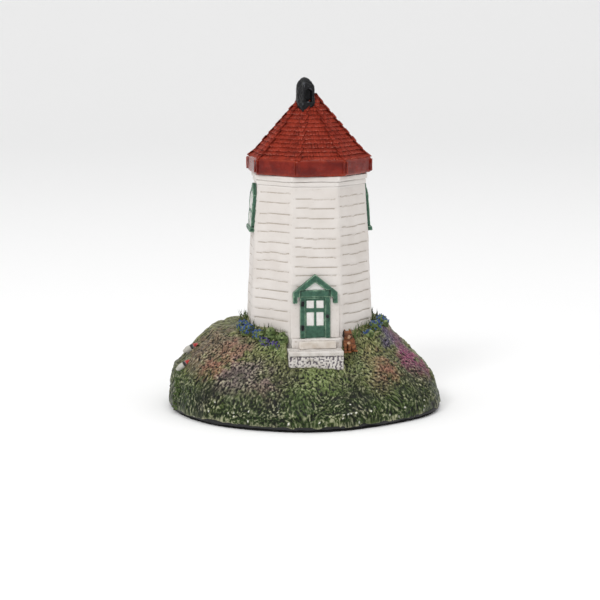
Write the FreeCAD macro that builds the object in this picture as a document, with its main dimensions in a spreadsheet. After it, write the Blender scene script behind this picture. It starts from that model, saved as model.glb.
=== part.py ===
import FreeCAD, Part
import math
import os

import Sketcher

# A hand-painted cast souvenir: a clapboard lighthouse on a planted mound.
# Millimetres; the origin is on the tower's axis at the underside, Z is up and the door faces -Y.

SIDES = 8
HALF_SIDE = 180.0 / SIDES

SIZES = (
    # base and mound
    ("felt_thickness", 0.8),
    ("felt_inset", 1.2),
    ("rim_height", 1.5),
    ("rim_inset", 0.5),
    ("mound_half_width", 47.6),
    ("mound_half_depth", 48.0),
    ("mound_shift", -1.8),
    ("mound_top", 32.5),
    ("socket_height", 22.0),
    # tower
    ("ground_height", 25.4),
    ("belly_height", 61.2),
    ("neck_height", 78.0),
    ("foot_radius", 22.85),
    ("belly_radius", 21.2),
    ("neck_radius", 19.85),
    ("board_lip", 0.35),
    ("corner_board_width", 1.6),
    ("corner_board_thickness", 0.5),
    # cornice and fascia
    ("bed_height", 1.6),
    ("bed_radius", 20.4),
    ("cornice_height", 1.8),
    ("cornice_radius", 20.9),
    ("fascia_height", 5.8),
    ("fascia_radius", 21.9),
    ("fascia_edge", 0.8),
    ("roof_turn", 5.0),
    ("strap_width", 0.55),
    ("strap_gap", 0.5),
    ("strap_thickness", 0.3),
    # roof
    ("eave_height", 2.3),
    ("eave_radius", 18.6),
    ("roof_height", 20.4),
    ("shingle_lip", 0.3),
    ("tip_radius", 0.5),
    # vent on the roof's point
    ("vent_x", -2.0),
    ("vent_y", -2.8),
    ("vent_turn", 23.5),
    ("vent_half_width", 2.6),
    ("vent_front", 3.4),
    ("vent_back", 4.0),
    ("vent_foot", 100.4),
    ("vent_crown", 114.3),
    ("vent_brow", 3.2),
    ("vent_nape", 6.4),
    ("vent_lintel", 0.8),
    ("vent_sill", 5.4),
    ("vent_mouth_width", 2.4),
    ("vent_mouth_depth", 1.4),
    # windows
    ("window_sill", 61.4),
    ("window_width", 11.6),
    ("window_eave", 12.6),
    ("window_rise", 3.8),
    ("window_thickness", 1.3),
    ("window_border", 1.5),
    ("glazing_bar", 0.8),
    ("sill_reach", 0.5),
    ("pane_recess", 0.35),
    # door set
    ("door_sill", 26.9),
    ("door_shift", -0.4),
    ("leaf_width", 6.8),
    ("leaf_height", 13.4),
    ("leaf_thickness", 0.8),
    ("jamb_width", 1.7),
    ("frame_height", 14.1),
    ("frame_thickness", 1.2),
    ("casing_half", 8.3),
    ("casing_thickness", 0.6),
    ("hood_half", 7.6),
    ("hood_eave", 15.7),
    ("hood_peak", 21.8),
    ("hood_drop", 11.9),
    ("hood_thickness", 1.9),
    ("hood_band", 1.5),
    ("tie_top", 16.4),
    ("tie_recess", 0.4),
    ("panel_half", 3.75),
    ("panel_rise", 2.7),
    ("panel_thickness", 0.9),
    ("pane_width", 2.5),
    ("low_pane_foot", 4.2),
    ("low_pane_height", 4.6),
    ("high_pane_foot", 10.2),
    ("high_pane_height", 2.6),
    ("hinge_width", 1.1),
    ("hinge_height", 1.8),
    ("hinge_thickness", 0.5),
    ("knob_radius", 0.65),
    ("knob_height", 7.5),
    ("knob_reach", 1.1),
    # landing and steps
    ("landing_half", 8.65),
    ("landing_front", 23.6),
    ("landing_foot", 23.8),
    ("upper_half", 6.25),
    ("upper_front", 25.9),
    ("upper_slope", 0.9),
    ("upper_top", 26.3),
    ("lower_half", 9.2),
    ("lower_shift", -1.0),
    ("lower_front", 30.5),
    ("tread_height", 23.8),
    ("nosing_height", 1.5),
    ("nosing_reach", 0.5),
    ("lower_foot", 15.5),
    # things on the mound
    ("cat_x", 10.5),
    ("cat_y", -24.0),
    ("cat_height", 7.9),
    ("buoy_length", 6.0),
    ("buoy_radius", 1.15),
    ("upper_buoy_x", -41.6),
    ("upper_buoy_y", -4.0),
    ("lower_buoy_x", -44.4),
    ("lower_buoy_y", -9.6),
)

DERIVED = (
    ("rim_top", "=felt_thickness + rim_height"),
    ("bed_top", "=neck_height + bed_height"),
    ("cornice_top", "=bed_top + cornice_height"),
    ("fascia_top", "=cornice_top + fascia_height"),
    ("eave_top", "=fascia_top + eave_height"),
    ("roof_top", "=eave_top + roof_height"),
    ("low_taper", "=(foot_radius - belly_radius) / (belly_height - ground_height)"),
    ("high_taper", "=(belly_radius - neck_radius) / (neck_height - belly_height)"),
    ("door_lean", "=atan(low_taper * cos(22.5))"),
    ("window_lean", "=atan(high_taper * cos(22.5))"),
    ("door_seat", "=(foot_radius - low_taper * (door_sill - ground_height)) * cos(22.5)"),
    ("window_seat", "=(belly_radius - high_taper * (window_sill - belly_height)) * cos(22.5)"),
)

LOW_COURSES = 11
HIGH_COURSES = 5
SHINGLE_ROWS = 16
ARCH_STEPS = 8

# Rings of the mound from the rim upwards: width, depth, sideways shift, height, front drop, back
# drop and lift of the left side. The first three are parts of the mound's half width and half
# depth, the others of its height.
MOUND_RINGS = (
    (1.000, 1.000, 0.000, 0.000, 0.000, 0.000, 0.000),
    (0.985, 0.985, -0.004, 0.147, 0.036, 0.012, 0.000),
    (0.940, 0.915, -0.023, 0.449, 0.229, 0.144, 0.000),
    (0.800, 0.760, -0.042, 0.746, 0.322, 0.220, 0.000),
    (0.660, 0.625, -0.017, 1.014, 0.476, 0.317, 0.045),
    (0.550, 0.540, 0.038, 1.066, 0.371, 0.286, -0.010),
    (0.357, 0.354, 0.038, 1.000, 0.000, 0.000, 0.000),
)
RING_POINTS = 28
LUMPS = ((3, 0.013, 0.6), (5, 0.011, 2.1), (7, 0.007, 4.0))


def write_sheet(doc):
    """Fill the sheet that drives every size."""
    sheet = doc.addObject("Spreadsheet::Sheet", "Dim")
    rows = [(name, str(value)) for name, value in SIZES] + list(DERIVED)
    for row, (name, text) in enumerate(rows, start=1):
        sheet.set("A%d" % row, name)
        sheet.set("B%d" % row, text)
        sheet.setAlias("B%d" % row, name)
    doc.recompute()
    return sheet


def number(sheet, name):
    """One size from the sheet as a plain number."""
    value = sheet.get(name)
    return float(getattr(value, "Value", value))


def bind(thing, **links):
    """Tie the object's properties to expressions on the sheet."""
    for name, text in links.items():
        thing.setExpression(name, text)
    return thing


def place(thing, x="0", y="0", z="0", turn="rotationz(0)"):
    """Bind the object's placement to expressions on the sheet."""
    thing.setExpression("Placement", "placement(vector(%s; %s; %s); %s)" % (x, y, z, turn))
    return thing


def origin_plane(body, role):
    return next(item for item in body.Origin.OriginFeatures if item.Role == role)


def outline(body, name, points, role="XY_Plane", offset=None):
    """Closed straight-sided sketch through points given as pairs of expressions."""
    sketch = body.newObject("Sketcher::SketchObject", name)
    sketch.AttachmentSupport = [(origin_plane(body, role), "")]
    sketch.MapMode = "FlatFace"
    if offset:
        sketch.setExpression("AttachmentOffset.Base.z", offset)
    count = len(points)
    angles = [2 * math.pi * index / count - 2 for index in range(count)]
    ring = [FreeCAD.Vector(10 * math.cos(a), 10 * math.sin(a), 0) for a in angles]
    edges = [Part.LineSegment(ring[i], ring[(i + 1) % count]) for i in range(count)]
    ids = sketch.addGeometry(edges, False)
    for index in ids:
        after = (index + 1) % count
        sketch.addConstraint(Sketcher.Constraint("Coincident", index, 2, after, 1))
    for index, pair in enumerate(points):
        start = ring[index]
        for kind, value, text in (("DistanceX", start.x, pair[0]), ("DistanceY", start.y, pair[1])):
            mark = sketch.addConstraint(Sketcher.Constraint(kind, -1, 1, index, 1, value))
            sketch.setExpression("Constraints[%d]" % mark, text)
    return sketch


def octagon(radius):
    """Eight corner points with a flat side facing each axis."""
    turns = [HALF_SIDE + 2 * HALF_SIDE * corner for corner in range(SIDES)]
    return [("%s * cos(%s)" % (radius, a), "%s * sin(%s)" % (radius, a)) for a in turns]


def body_of(doc, name):
    body = doc.addObject("PartDesign::Body", name)
    body.AllowCompound = True
    return body


def pad(body, name, sketch, length, midplane=False):
    """Pad a sketch away from its plane."""
    feature = body.newObject("PartDesign::Pad", name)
    feature.Profile = sketch
    feature.setExpression("Length", length)
    feature.Midplane = midplane
    sketch.Visibility = False
    return feature


def pocket(body, name, sketch, depth):
    """Cut a sketch back into the solid behind its plane."""
    feature = body.newObject("PartDesign::Pocket", name)
    feature.Profile = sketch
    feature.setExpression("Length", depth)
    sketch.Visibility = False
    return feature


def slab(doc, name, points, thickness, role="XY_Plane", midplane=False):
    """Body made by padding one outline."""
    body = body_of(doc, name)
    sketch = outline(body, name + "_outline", points, role)
    pad(body, name + "_pad", sketch, thickness, midplane)
    return body


def box(doc, name, length, width, height, x, y, z):
    item = doc.addObject("Part::Box", name)
    bind(item, Length=length, Width=width, Height=height)
    return place(item, x, y, z)


def eight_sided(doc, name, flank, turn="0"):
    """Solid with eight equal sides that follow a flank of (corner radius, height) pairs."""
    right = [("(%s) * cos(%s)" % (radius, HALF_SIDE), height) for radius, height in flank]
    left = [("-(%s) * cos(%s)" % (radius, HALF_SIDE), height) for radius, height in flank]
    slabs = []
    for pair in range(SIDES // 2):
        tag = "%s_slab_%d" % (name, pair)
        body = slab(doc, tag, right + left[::-1], "4 * Dim.foot_radius", "XZ_Plane", True)
        slabs.append(place(body, turn="rotationz(%s + %s)" % (2 * HALF_SIDE * pair, turn)))
    item = doc.addObject("Part::MultiCommon", name)
    item.Shapes = slabs
    return item


def fuse(doc, name, pieces):
    item = doc.addObject("Part::MultiFuse", name)
    item.Shapes = pieces
    return item


def cut(doc, name, base, tools):
    """Base with every tool taken away."""
    tool = tools[0] if len(tools) == 1 else fuse(doc, name + "_tools", tools)
    item = doc.addObject("Part::Cut", name)
    item.Base = base
    item.Tool = tool
    return item


def group(doc, name, pieces):
    item = doc.addObject("Part::Compound", name)
    item.Links = pieces
    return item


def between(low, high, step, count):
    """Expression for one step of count between two sizes."""
    return "((%s) + ((%s) - (%s)) * %d / %d)" % (low, high, low, step, count)


def courses(count, ends, lip):
    """Flank of overlapping courses, each wider at its foot by the lip."""
    low_radius, low, high_radius, high = ends
    flank = []
    for step in range(count):
        flank.append((between(low_radius, high_radius, step, count) + " + " + lip,
                      between(low, high, step, count)))
        flank.append((between(low_radius, high_radius, step + 1, count),
                      between(low, high, step + 1, count)))
    return flank


# ---- base and mound ------------------------------------------------------------------------

def ring_points(sheet, share_x, share_y, shift, low, drops=(0.0, 0.0, 0.0), inset=0.0):
    """Points of one ring of the mound: front and back hang lower, the left side may be lifted."""
    half_width = number(sheet, "mound_half_width")
    half_depth = number(sheet, "mound_half_depth")
    centre = number(sheet, "mound_shift") + shift * half_width
    front, back, lift = drops
    points = []
    for index in range(RING_POINTS):
        angle = 2 * math.pi * index / RING_POINTS
        wave = 1 + sum(size * math.cos(n * angle + phase) for n, size, phase in LUMPS)
        sag = front * ((1 - math.sin(angle)) / 2) ** 2 + back * ((1 + math.sin(angle)) / 2) ** 2
        x = centre + (share_x * half_width * wave - inset) * math.cos(angle)
        y = (share_y * half_depth * wave - inset) * math.sin(angle)
        points.append(FreeCAD.Vector(x, y, low - sag - lift * math.cos(angle)))
    return points


def ring_wire(points):
    curve = Part.BSplineCurve()
    curve.interpolate(Points=points, PeriodicFlag=True)
    return Part.Wire(curve.toShape())


def facet(*points):
    return Part.Face(Part.makePolygon(points + points[:1]))


def mound_blank(doc, sheet):
    """Lumpy hill in flat facets, before anything is let into it."""
    low = number(sheet, "rim_top")
    rise = number(sheet, "mound_top") - low
    rings = []
    for share_x, share_y, shift, height, *drops in MOUND_RINGS:
        sags = [drop * rise for drop in drops]
        rings.append(ring_points(sheet, share_x, share_y, shift, low + height * rise, sags))
    faces = [facet(*rings[0]), facet(*rings[-1])]
    for below, above in zip(rings, rings[1:]):
        for index in range(RING_POINTS):
            after = (index + 1) % RING_POINTS
            faces.append(facet(below[index], below[after], above[after]))
            faces.append(facet(below[index], above[after], above[index]))
    shell = Part.makeShell(faces)
    shell.sewShape()
    hill = Part.makeSolid(shell)
    if hill.Volume < 0:
        hill.reverse()
    blank = doc.addObject("Part::Feature", "mound_blank")
    blank.Shape = hill
    return blank


def flat_disc(doc, sheet, name, inset, low, thickness):
    """Flat layer under the mound, following its outline."""
    wire = ring_wire(ring_points(sheet, 1.0, 1.0, 0.0, low, inset=inset))
    disc = doc.addObject("Part::Feature", name)
    disc.Shape = Part.Face(wire).extrude(FreeCAD.Vector(0, 0, thickness))
    return disc


def base_layers(doc, sheet):
    felt = number(sheet, "felt_thickness")
    pad_disc = flat_disc(doc, sheet, "felt_pad", number(sheet, "felt_inset"), 0.0, felt)
    height = number(sheet, "rim_height")
    rim = flat_disc(doc, sheet, "base_rim", number(sheet, "rim_inset"), felt, height)
    return [pad_disc, rim]


# ---- tower and roof ------------------------------------------------------------------------

def tower(doc, seats):
    """Clapboard tower with flat seats for the door and the windows."""
    low = ("Dim.foot_radius", "Dim.ground_height", "Dim.belly_radius", "Dim.belly_height")
    high = ("Dim.belly_radius", "Dim.belly_height", "Dim.neck_radius", "Dim.neck_height")
    flank = [("Dim.foot_radius", "Dim.socket_height"), ("Dim.foot_radius", "Dim.ground_height")]
    flank += courses(LOW_COURSES, low, "Dim.board_lip")
    flank += courses(HIGH_COURSES, high, "Dim.board_lip")
    return cut(doc, "tower_body", eight_sided(doc, "tower_stack", flank), seats)


def corner_boards(doc, tower_body, seats):
    """Thin upright boards over the eight corners of the tower."""
    thick = " + Dim.corner_board_thickness"
    shell = eight_sided(doc, "corner_shell", [
        ("Dim.foot_radius" + thick, "Dim.ground_height"),
        ("Dim.belly_radius" + thick, "Dim.belly_height"),
        ("Dim.neck_radius" + thick, "Dim.neck_height"),
    ])
    fins = []
    for corner in range(SIDES // 2):
        fin = doc.addObject("Part::Box", "corner_fin_%d" % corner)
        reach = "(Dim.foot_radius * 3)"
        wide = "(Dim.corner_board_width * 1.85)"
        bind(fin, Length=reach, Width=wide, Height="Dim.neck_height")
        turn = HALF_SIDE + 2 * HALF_SIDE * corner
        x = "-%s / 2 * cos(%s) + %s / 2 * sin(%s)" % (reach, turn, wide, turn)
        y = "-%s / 2 * sin(%s) - %s / 2 * cos(%s)" % (reach, turn, wide, turn)
        fins.append(place(fin, x, y, "0", "rotationz(%s)" % turn))
    strips = doc.addObject("Part::MultiCommon", "corner_strips")
    strips.Shapes = [shell, fuse(doc, "corner_fins", fins)]
    return cut(doc, "corner_boards", strips, [tower_body] + seats)


def band(doc, name, radius, height, low, turn="0"):
    """Eight-sided ring course around the top of the tower."""
    body = slab(doc, name, octagon(radius), height)
    place(body, z=low, turn="rotationz(%s)" % turn)
    return body


def fascia(doc):
    """Deep band under the roof with rounded edges."""
    body = band(doc, "roof_fascia", "Dim.fascia_radius", "Dim.fascia_height",
                "Dim.cornice_top", "Dim.roof_turn")
    doc.recompute()
    base = body.Tip
    soft = body.newObject("PartDesign::Fillet", "fascia_edges")
    soft.Base = (base, ["Face%d" % (SIDES + 1), "Face%d" % (SIDES + 2)])
    soft.setExpression("Radius", "Dim.fascia_edge")
    return body


def fascia_straps(doc):
    """Pairs of thin raised strips beside each corner of the fascia."""
    strips = []
    face = "Dim.fascia_radius * cos(%s)" % HALF_SIDE
    edge = "Dim.fascia_radius * sin(%s)" % HALF_SIDE
    for corner in range(SIDES):
        for side in (-1, 1):
            name = "strap_%d_%s" % (corner, "left" if side < 0 else "right")
            strip = doc.addObject("Part::Box", name)
            bind(strip, Length="Dim.strap_thickness", Width="Dim.strap_width",
                 Height="Dim.fascia_height - 2 * Dim.fascia_edge")
            turn = "(%s + Dim.roof_turn)" % (2 * HALF_SIDE * corner)
            along = "(%d * (%s - Dim.strap_gap) - Dim.strap_width * %s)" % (
                side, edge, 1 if side > 0 else 0)
            x = "(%s) * cos%s - %s * sin%s" % (face, turn, along, turn)
            y = "(%s) * sin%s + %s * cos%s" % (face, turn, along, turn)
            strips.append(place(strip, x, y, "Dim.cornice_top + Dim.fascia_edge",
                                "rotationz%s" % turn))
    return group(doc, "fascia_straps", strips)


def roof(doc):
    """Eight-sided roof in stepped shingle courses, carried to a small tip."""
    ends = ("Dim.eave_radius - Dim.shingle_lip", "Dim.eave_top", "Dim.tip_radius", "Dim.roof_top")
    flank = [("Dim.fascia_radius - Dim.fascia_edge", "Dim.fascia_top")]
    flank += courses(SHINGLE_ROWS, ends, "Dim.shingle_lip")
    return eight_sided(doc, "roof_shell", flank, "Dim.roof_turn")


def arch(body, name, offset, half, low, high):
    """Round-headed section standing across the vent."""
    points = [("-(%s)" % half, low), (half, low)]
    for step in range(ARCH_STEPS + 1):
        turn = 180.0 * step / ARCH_STEPS
        points.append(("(%s) * cos(%s)" % (half, turn),
                       "%s - (%s) * (1 - sin(%s))" % (high, half, turn)))
    return outline(body, name, points, "XZ_Plane", offset)


# Half outline of the vent's front: share of its half width, share of its height.
VENT_OUTLINE = ((1.0, 0.0), (0.93, 0.5), (0.8, 0.72), (0.58, 0.88), (0.3, 0.97))


def vent(doc, roof_shell):
    """Hooded vent over the roof's point: a tapered front cut to a humped side, with a mouth."""
    turn = "rotationz(Dim.vent_turn)"
    rise = "Dim.vent_foot + (Dim.vent_crown - Dim.vent_foot) * %g"
    flank = [("Dim.vent_half_width * %g" % across, rise % up) for across, up in VENT_OUTLINE]
    other = [("-" + across, up) for across, up in flank[::-1]]
    front = slab(doc, "vent_front", flank + [("0", "Dim.vent_crown")] + other,
                 "2 * (Dim.vent_front + Dim.vent_back)", "XZ_Plane", True)
    hump = [("-Dim.vent_front", "Dim.vent_foot"),
            ("-Dim.vent_front", "Dim.vent_crown - Dim.vent_brow"),
            ("-Dim.vent_front * 0.5", "Dim.vent_crown - Dim.vent_brow * 0.25"),
            ("Dim.vent_front * 0.05", "Dim.vent_crown"),
            ("Dim.vent_back * 0.6", "Dim.vent_crown - Dim.vent_nape * 0.45"),
            ("Dim.vent_back", "Dim.vent_crown - Dim.vent_nape"),
            ("Dim.vent_back", "Dim.vent_foot")]
    side = slab(doc, "vent_side", hump, "2 * Dim.vent_half_width", "YZ_Plane", True)
    right = [("Dim.vent_half_width", "-Dim.vent_front"), ("Dim.vent_half_width", "0"),
             ("Dim.vent_half_width * 0.45", "Dim.vent_back")]
    left = [("-" + across, along) for across, along in right[::-1]]
    plan = slab(doc, "vent_plan", right + left, "Dim.vent_crown * 1.1")
    hood = doc.addObject("Part::MultiCommon", "vent_hood")
    hood.Shapes = [place(body, "Dim.vent_x", "Dim.vent_y", "0", turn)
                   for body in (front, side, plan)]
    mouth = body_of(doc, "vent_mouth")
    opening = arch(mouth, "vent_opening", "Dim.vent_front", "Dim.vent_mouth_width / 2",
                   "Dim.vent_foot + Dim.vent_sill",
                   "Dim.vent_crown - Dim.vent_brow - Dim.vent_lintel")
    pad(mouth, "vent_hollow", opening, "Dim.vent_mouth_depth")
    mouth.Tip.Reversed = True
    place(mouth, "Dim.vent_x", "Dim.vent_y", "0", turn)
    return cut(doc, "roof_vent", hood, [mouth, roof_shell])


# ---- windows and door ----------------------------------------------------------------------

def on_door_wall(thing, x="0", y="0", out="0"):
    """Place a piece drawn flat (x across, y up, z out) against the door wall."""
    up = "(%s)" % y
    off = "(%s)" % out
    depth = "-Dim.door_seat + %s * sin(Dim.door_lean) - %s * cos(Dim.door_lean)" % (up, off)
    height = "Dim.door_sill + %s * cos(Dim.door_lean) + %s * sin(Dim.door_lean)" % (up, off)
    return place(thing, "Dim.door_shift + (%s)" % x, depth, height,
                 "rotationx(90 deg - Dim.door_lean)")


def on_window_wall(thing, side, x="0", y="0", out="0"):
    """Place a flat piece against the left (-1) or right (1) window wall."""
    up = "(%s)" % y
    off = "(%s)" % out
    reach = "(Dim.window_seat - %s * sin(Dim.window_lean) + %s * cos(Dim.window_lean))" % (up, off)
    height = "Dim.window_sill + %s * cos(Dim.window_lean) + %s * sin(Dim.window_lean)" % (up, off)
    turn = "rotationz(%d) * rotationx(90 deg - Dim.window_lean)" % (90 * side)
    return place(thing, "%d * %s" % (side, reach), "%d * (%s)" % (side, x), height, turn)


def gable(half, eave, rise, inset="0"):
    """Outline of an upright panel with a pointed head."""
    return [
        ("-(%s) + %s" % (half, inset), inset),
        ("(%s) - %s" % (half, inset), inset),
        ("(%s) - %s" % (half, inset), "%s - %s * 0.4" % (eave, inset)),
        ("0", "%s + %s - %s * 1.3" % (eave, rise, inset)),
        ("-(%s) + %s" % (half, inset), "%s - %s * 0.4" % (eave, inset)),
    ]


def window(doc, side):
    """Frame and glazing of one side window."""
    tag = "left" if side < 0 else "right"
    half = "Dim.window_width / 2"
    frame = body_of(doc, "frame_%s" % tag)
    sketch = outline(frame, "frame_outline_%s" % tag, gable(half, "Dim.window_eave", "Dim.window_rise"))
    pad(frame, "frame_pad_%s" % tag, sketch, "Dim.window_thickness")
    on_window_wall(frame, side)
    light = body_of(doc, "light_%s" % tag)
    inner = gable(half, "Dim.window_eave", "Dim.window_rise", "Dim.window_border")
    glass = outline(light, "light_outline_%s" % tag, inner)
    pad(light, "light_pad_%s" % tag, glass, "Dim.window_thickness - Dim.pane_recess")
    on_window_wall(light, side)
    opening = body_of(doc, "opening_%s" % tag)
    hole = outline(opening, "opening_outline_%s" % tag, inner)
    pad(opening, "opening_pad_%s" % tag, hole, "Dim.window_thickness * 2")
    on_window_wall(opening, side)
    bars = window_bars(doc, side, tag)
    ledge = doc.addObject("Part::Box", "ledge_%s" % tag)
    bind(ledge, Length="Dim.window_width + 2 * Dim.sill_reach", Width="Dim.window_border",
         Height="Dim.window_thickness + Dim.sill_reach")
    on_window_wall(ledge, side, "-Dim.window_width / 2 - Dim.sill_reach")
    ring = cut(doc, "ring_%s" % tag, frame, [opening])
    whole = fuse(doc, "%s_window_frame" % tag, [ring, ledge] + bars)
    panes = cut(doc, "%s_window_panes" % tag, light, bars + [ledge])
    seat = body_of(doc, "window_seat_%s" % tag)
    patch = outline(seat, "seat_outline_%s" % tag, gable("Dim.window_width / 2", "Dim.window_eave",
                                                        "Dim.window_rise"))
    pad(seat, "seat_pad_%s" % tag, patch, "Dim.window_thickness * 3")
    on_window_wall(seat, side)
    ledge_seat = doc.addObject("Part::Box", "ledge_seat_%s" % tag)
    bind(ledge_seat, Length="Dim.window_width + 2 * Dim.sill_reach", Width="Dim.window_border",
         Height="Dim.window_thickness * 3")
    on_window_wall(ledge_seat, side, "-Dim.window_width / 2 - Dim.sill_reach")
    return [whole, panes], [seat, ledge_seat]


def window_bars(doc, side, tag):
    """One upright and one crosswise glazing bar."""
    upright = doc.addObject("Part::Box", "upright_%s" % tag)
    bind(upright, Length="Dim.glazing_bar",
         Width="Dim.window_eave + Dim.window_rise - 2.2 * Dim.window_border",
         Height="Dim.window_thickness")
    on_window_wall(upright, side, "-Dim.glazing_bar / 2", "Dim.window_border * 0.8")
    cross = doc.addObject("Part::Box", "cross_%s" % tag)
    bind(cross, Length="Dim.window_width - 1.6 * Dim.window_border", Width="Dim.glazing_bar",
         Height="Dim.window_thickness")
    on_window_wall(cross, side, "-Dim.window_width / 2 + 0.8 * Dim.window_border",
                   "Dim.window_eave / 2")
    return [upright, cross]


def door_frame(doc):
    """Jambs and head around the leaf."""
    outer = "(Dim.leaf_width / 2 + Dim.jamb_width)"
    inner = "Dim.leaf_width / 2"
    points = [
        ("-%s" % outer, "0"), ("-(%s)" % inner, "0"), ("-(%s)" % inner, "Dim.leaf_height"),
        (inner, "Dim.leaf_height"), (inner, "0"), (outer, "0"), (outer, "Dim.frame_height"),
        ("-%s" % outer, "Dim.frame_height"),
    ]
    return on_door_wall(slab(doc, "door_frame", points, "Dim.frame_thickness"))


def rectangle(left, low, wide, high):
    return [(left, low), ("%s + %s" % (left, wide), low),
            ("%s + %s" % (left, wide), "%s + %s" % (low, high)), (left, "%s + %s" % (low, high))]


def pane_places():
    """Lower left corner and size of the four door panes."""
    places = []
    for left in ("-Dim.glazing_bar / 2 - Dim.pane_width", "Dim.glazing_bar / 2"):
        places.append((left, "Dim.low_pane_foot", "Dim.low_pane_height"))
        places.append((left, "Dim.high_pane_foot", "Dim.high_pane_height"))
    return places


def door_leaf(doc):
    """Closed leaf with four sunk panes."""
    points = rectangle("-Dim.leaf_width / 2", "0", "Dim.leaf_width", "Dim.leaf_height")
    body = slab(doc, "door_leaf", points, "Dim.leaf_thickness")
    doc.recompute()
    panes = []
    for index, (left, low, high) in enumerate(pane_places()):
        spot = rectangle(left, low, "Dim.pane_width", high)
        sketch = outline(body, "pane_outline_%d" % index, spot, offset="Dim.leaf_thickness")
        pocket(body, "pane_pocket_%d" % index, sketch, "2 * Dim.pane_recess")
        pane = doc.addObject("Part::Box", "pane_%d" % index)
        bind(pane, Length="Dim.pane_width", Width=high, Height="Dim.pane_recess * 1.5")
        panes.append(on_door_wall(pane, left, low, "Dim.leaf_thickness - 2 * Dim.pane_recess"))
    on_door_wall(body)
    return [body, group(doc, "door_panes", panes)]


def door_casing(doc):
    """White boards on both sides of the frame."""
    inner = "(Dim.leaf_width / 2 + Dim.jamb_width)"
    end = "(Dim.hood_half - Dim.hood_band)"
    boards = []
    for tag, sign in (("left", "-"), ("right", "")):
        points = [
            (sign + inner, "0"), (sign + "Dim.casing_half", "0"),
            (sign + "Dim.casing_half", "Dim.hood_drop"), (sign + end, "Dim.hood_drop"),
            (sign + end, "Dim.frame_height"), (sign + inner, "Dim.frame_height"),
        ]
        boards.append(on_door_wall(slab(doc, "casing_" + tag, points, "Dim.casing_thickness")))
    return group(doc, "door_casing", boards)


def door_hood(doc):
    """Gabled hood over the door, with the white panel inside it."""
    end = "(Dim.hood_half - Dim.hood_band)"
    points = [
        ("0", "Dim.hood_peak"), ("-Dim.hood_half", "Dim.hood_eave"),
        ("-Dim.hood_half", "Dim.hood_drop"), ("-" + end, "Dim.hood_drop"),
        ("-" + end, "Dim.frame_height"), (end, "Dim.frame_height"), (end, "Dim.hood_drop"),
        ("Dim.hood_half", "Dim.hood_drop"), ("Dim.hood_half", "Dim.hood_eave"),
    ]
    body = slab(doc, "door_hood", points, "Dim.hood_thickness")
    doc.recompute()
    beam = rectangle("-(Dim.hood_half - 1.6 * Dim.hood_band)", "Dim.frame_height",
                     "2 * (Dim.hood_half - 1.6 * Dim.hood_band)",
                     "Dim.tie_top - Dim.frame_height")
    sketch = outline(body, "tie_outline", beam, offset="Dim.hood_thickness")
    pocket(body, "tie_recess", sketch, "Dim.tie_recess")
    field = [("-Dim.panel_half", "Dim.tie_top"), ("Dim.panel_half", "Dim.tie_top"),
             ("0", "Dim.tie_top + Dim.panel_rise")]
    opening = outline(body, "panel_opening", field, offset="Dim.hood_thickness")
    pocket(body, "panel_cut", opening, "Dim.hood_thickness")
    panel = slab(doc, "hood_panel", field, "Dim.panel_thickness")
    return [on_door_wall(body), on_door_wall(panel)]


def door_hinges(doc):
    """Two black strap hinges on the left edge."""
    hinges = []
    left = "-Dim.leaf_width / 2 - Dim.jamb_width * 0.9"
    for index, share in enumerate((0.27, 0.88)):
        hinge = doc.addObject("Part::Box", "hinge_%d" % index)
        bind(hinge, Length="Dim.hinge_width", Width="Dim.hinge_height",
             Height="Dim.hinge_thickness")
        low = "Dim.leaf_height * %s - Dim.hinge_height / 2" % share
        hinges.append(on_door_wall(hinge, left, low, "Dim.frame_thickness"))
    return group(doc, "door_hinges", hinges)


def door_knob(doc):
    """Turned knob on the right jamb."""
    body = body_of(doc, "door_knob")
    edge = "Dim.knob_radius"
    reach = "Dim.knob_reach"
    points = [("0", "0"), (edge + " * 0.6", "0"), (edge + " * 0.6", reach + " * 0.35"),
              (edge, reach + " * 0.5"), (edge, reach + " * 0.8"), (edge + " * 0.5", reach),
              ("0", reach)]
    sketch = outline(body, "knob_profile", points, "XZ_Plane")
    turned = body.newObject("PartDesign::Revolution", "knob_turned")
    turned.Profile = sketch
    turned.ReferenceAxis = (sketch, ["V_Axis"])
    turned.Angle = 360
    on_door_wall(body, "Dim.leaf_width / 2 + Dim.knob_radius", "Dim.knob_height",
                 "Dim.frame_thickness")
    return body


# ---- landing and steps ---------------------------------------------------------------------

def landing(doc, tower_body, boards):
    """Plinth under the door."""
    block = box(doc, "landing_block", "2 * Dim.landing_half", "Dim.landing_front - 15",
                "Dim.door_sill - Dim.landing_foot", "-Dim.landing_half", "-Dim.landing_front",
                "Dim.landing_foot")
    return cut(doc, "door_landing", block, [tower_body, boards])


def side_profile(doc, name, points, half, shift="0"):
    """Block with a side outline (depth forward of the axis, height), padded across."""
    body = body_of(doc, name)
    turned = [("-(%s)" % depth, height) for depth, height in points]
    sketch = outline(body, name + "_profile", turned, "YZ_Plane")
    pad(body, name + "_pad", sketch, "2 * " + half, True)
    return place(body, shift)


def steps(doc):
    """Narrow upper step and wide lower step with a nosing."""
    upper = side_profile(doc, "upper_step", [
        ("Dim.landing_front", "Dim.tread_height"),
        ("Dim.upper_front", "Dim.tread_height"),
        ("Dim.upper_front - Dim.upper_slope", "Dim.upper_top"),
        ("Dim.landing_front", "Dim.upper_top"),
    ], "Dim.upper_half")
    lower = side_profile(doc, "lower_step", [
        ("Dim.landing_front - 0.4", "Dim.lower_foot"),
        ("Dim.lower_front - Dim.nosing_reach", "Dim.lower_foot"),
        ("Dim.lower_front - Dim.nosing_reach", "Dim.tread_height - Dim.nosing_height"),
        ("Dim.lower_front", "Dim.tread_height - Dim.nosing_height"),
        ("Dim.lower_front", "Dim.tread_height"),
        ("Dim.landing_front - 0.4", "Dim.tread_height"),
    ], "Dim.lower_half", "Dim.lower_shift")
    return [upper, lower]


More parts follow.
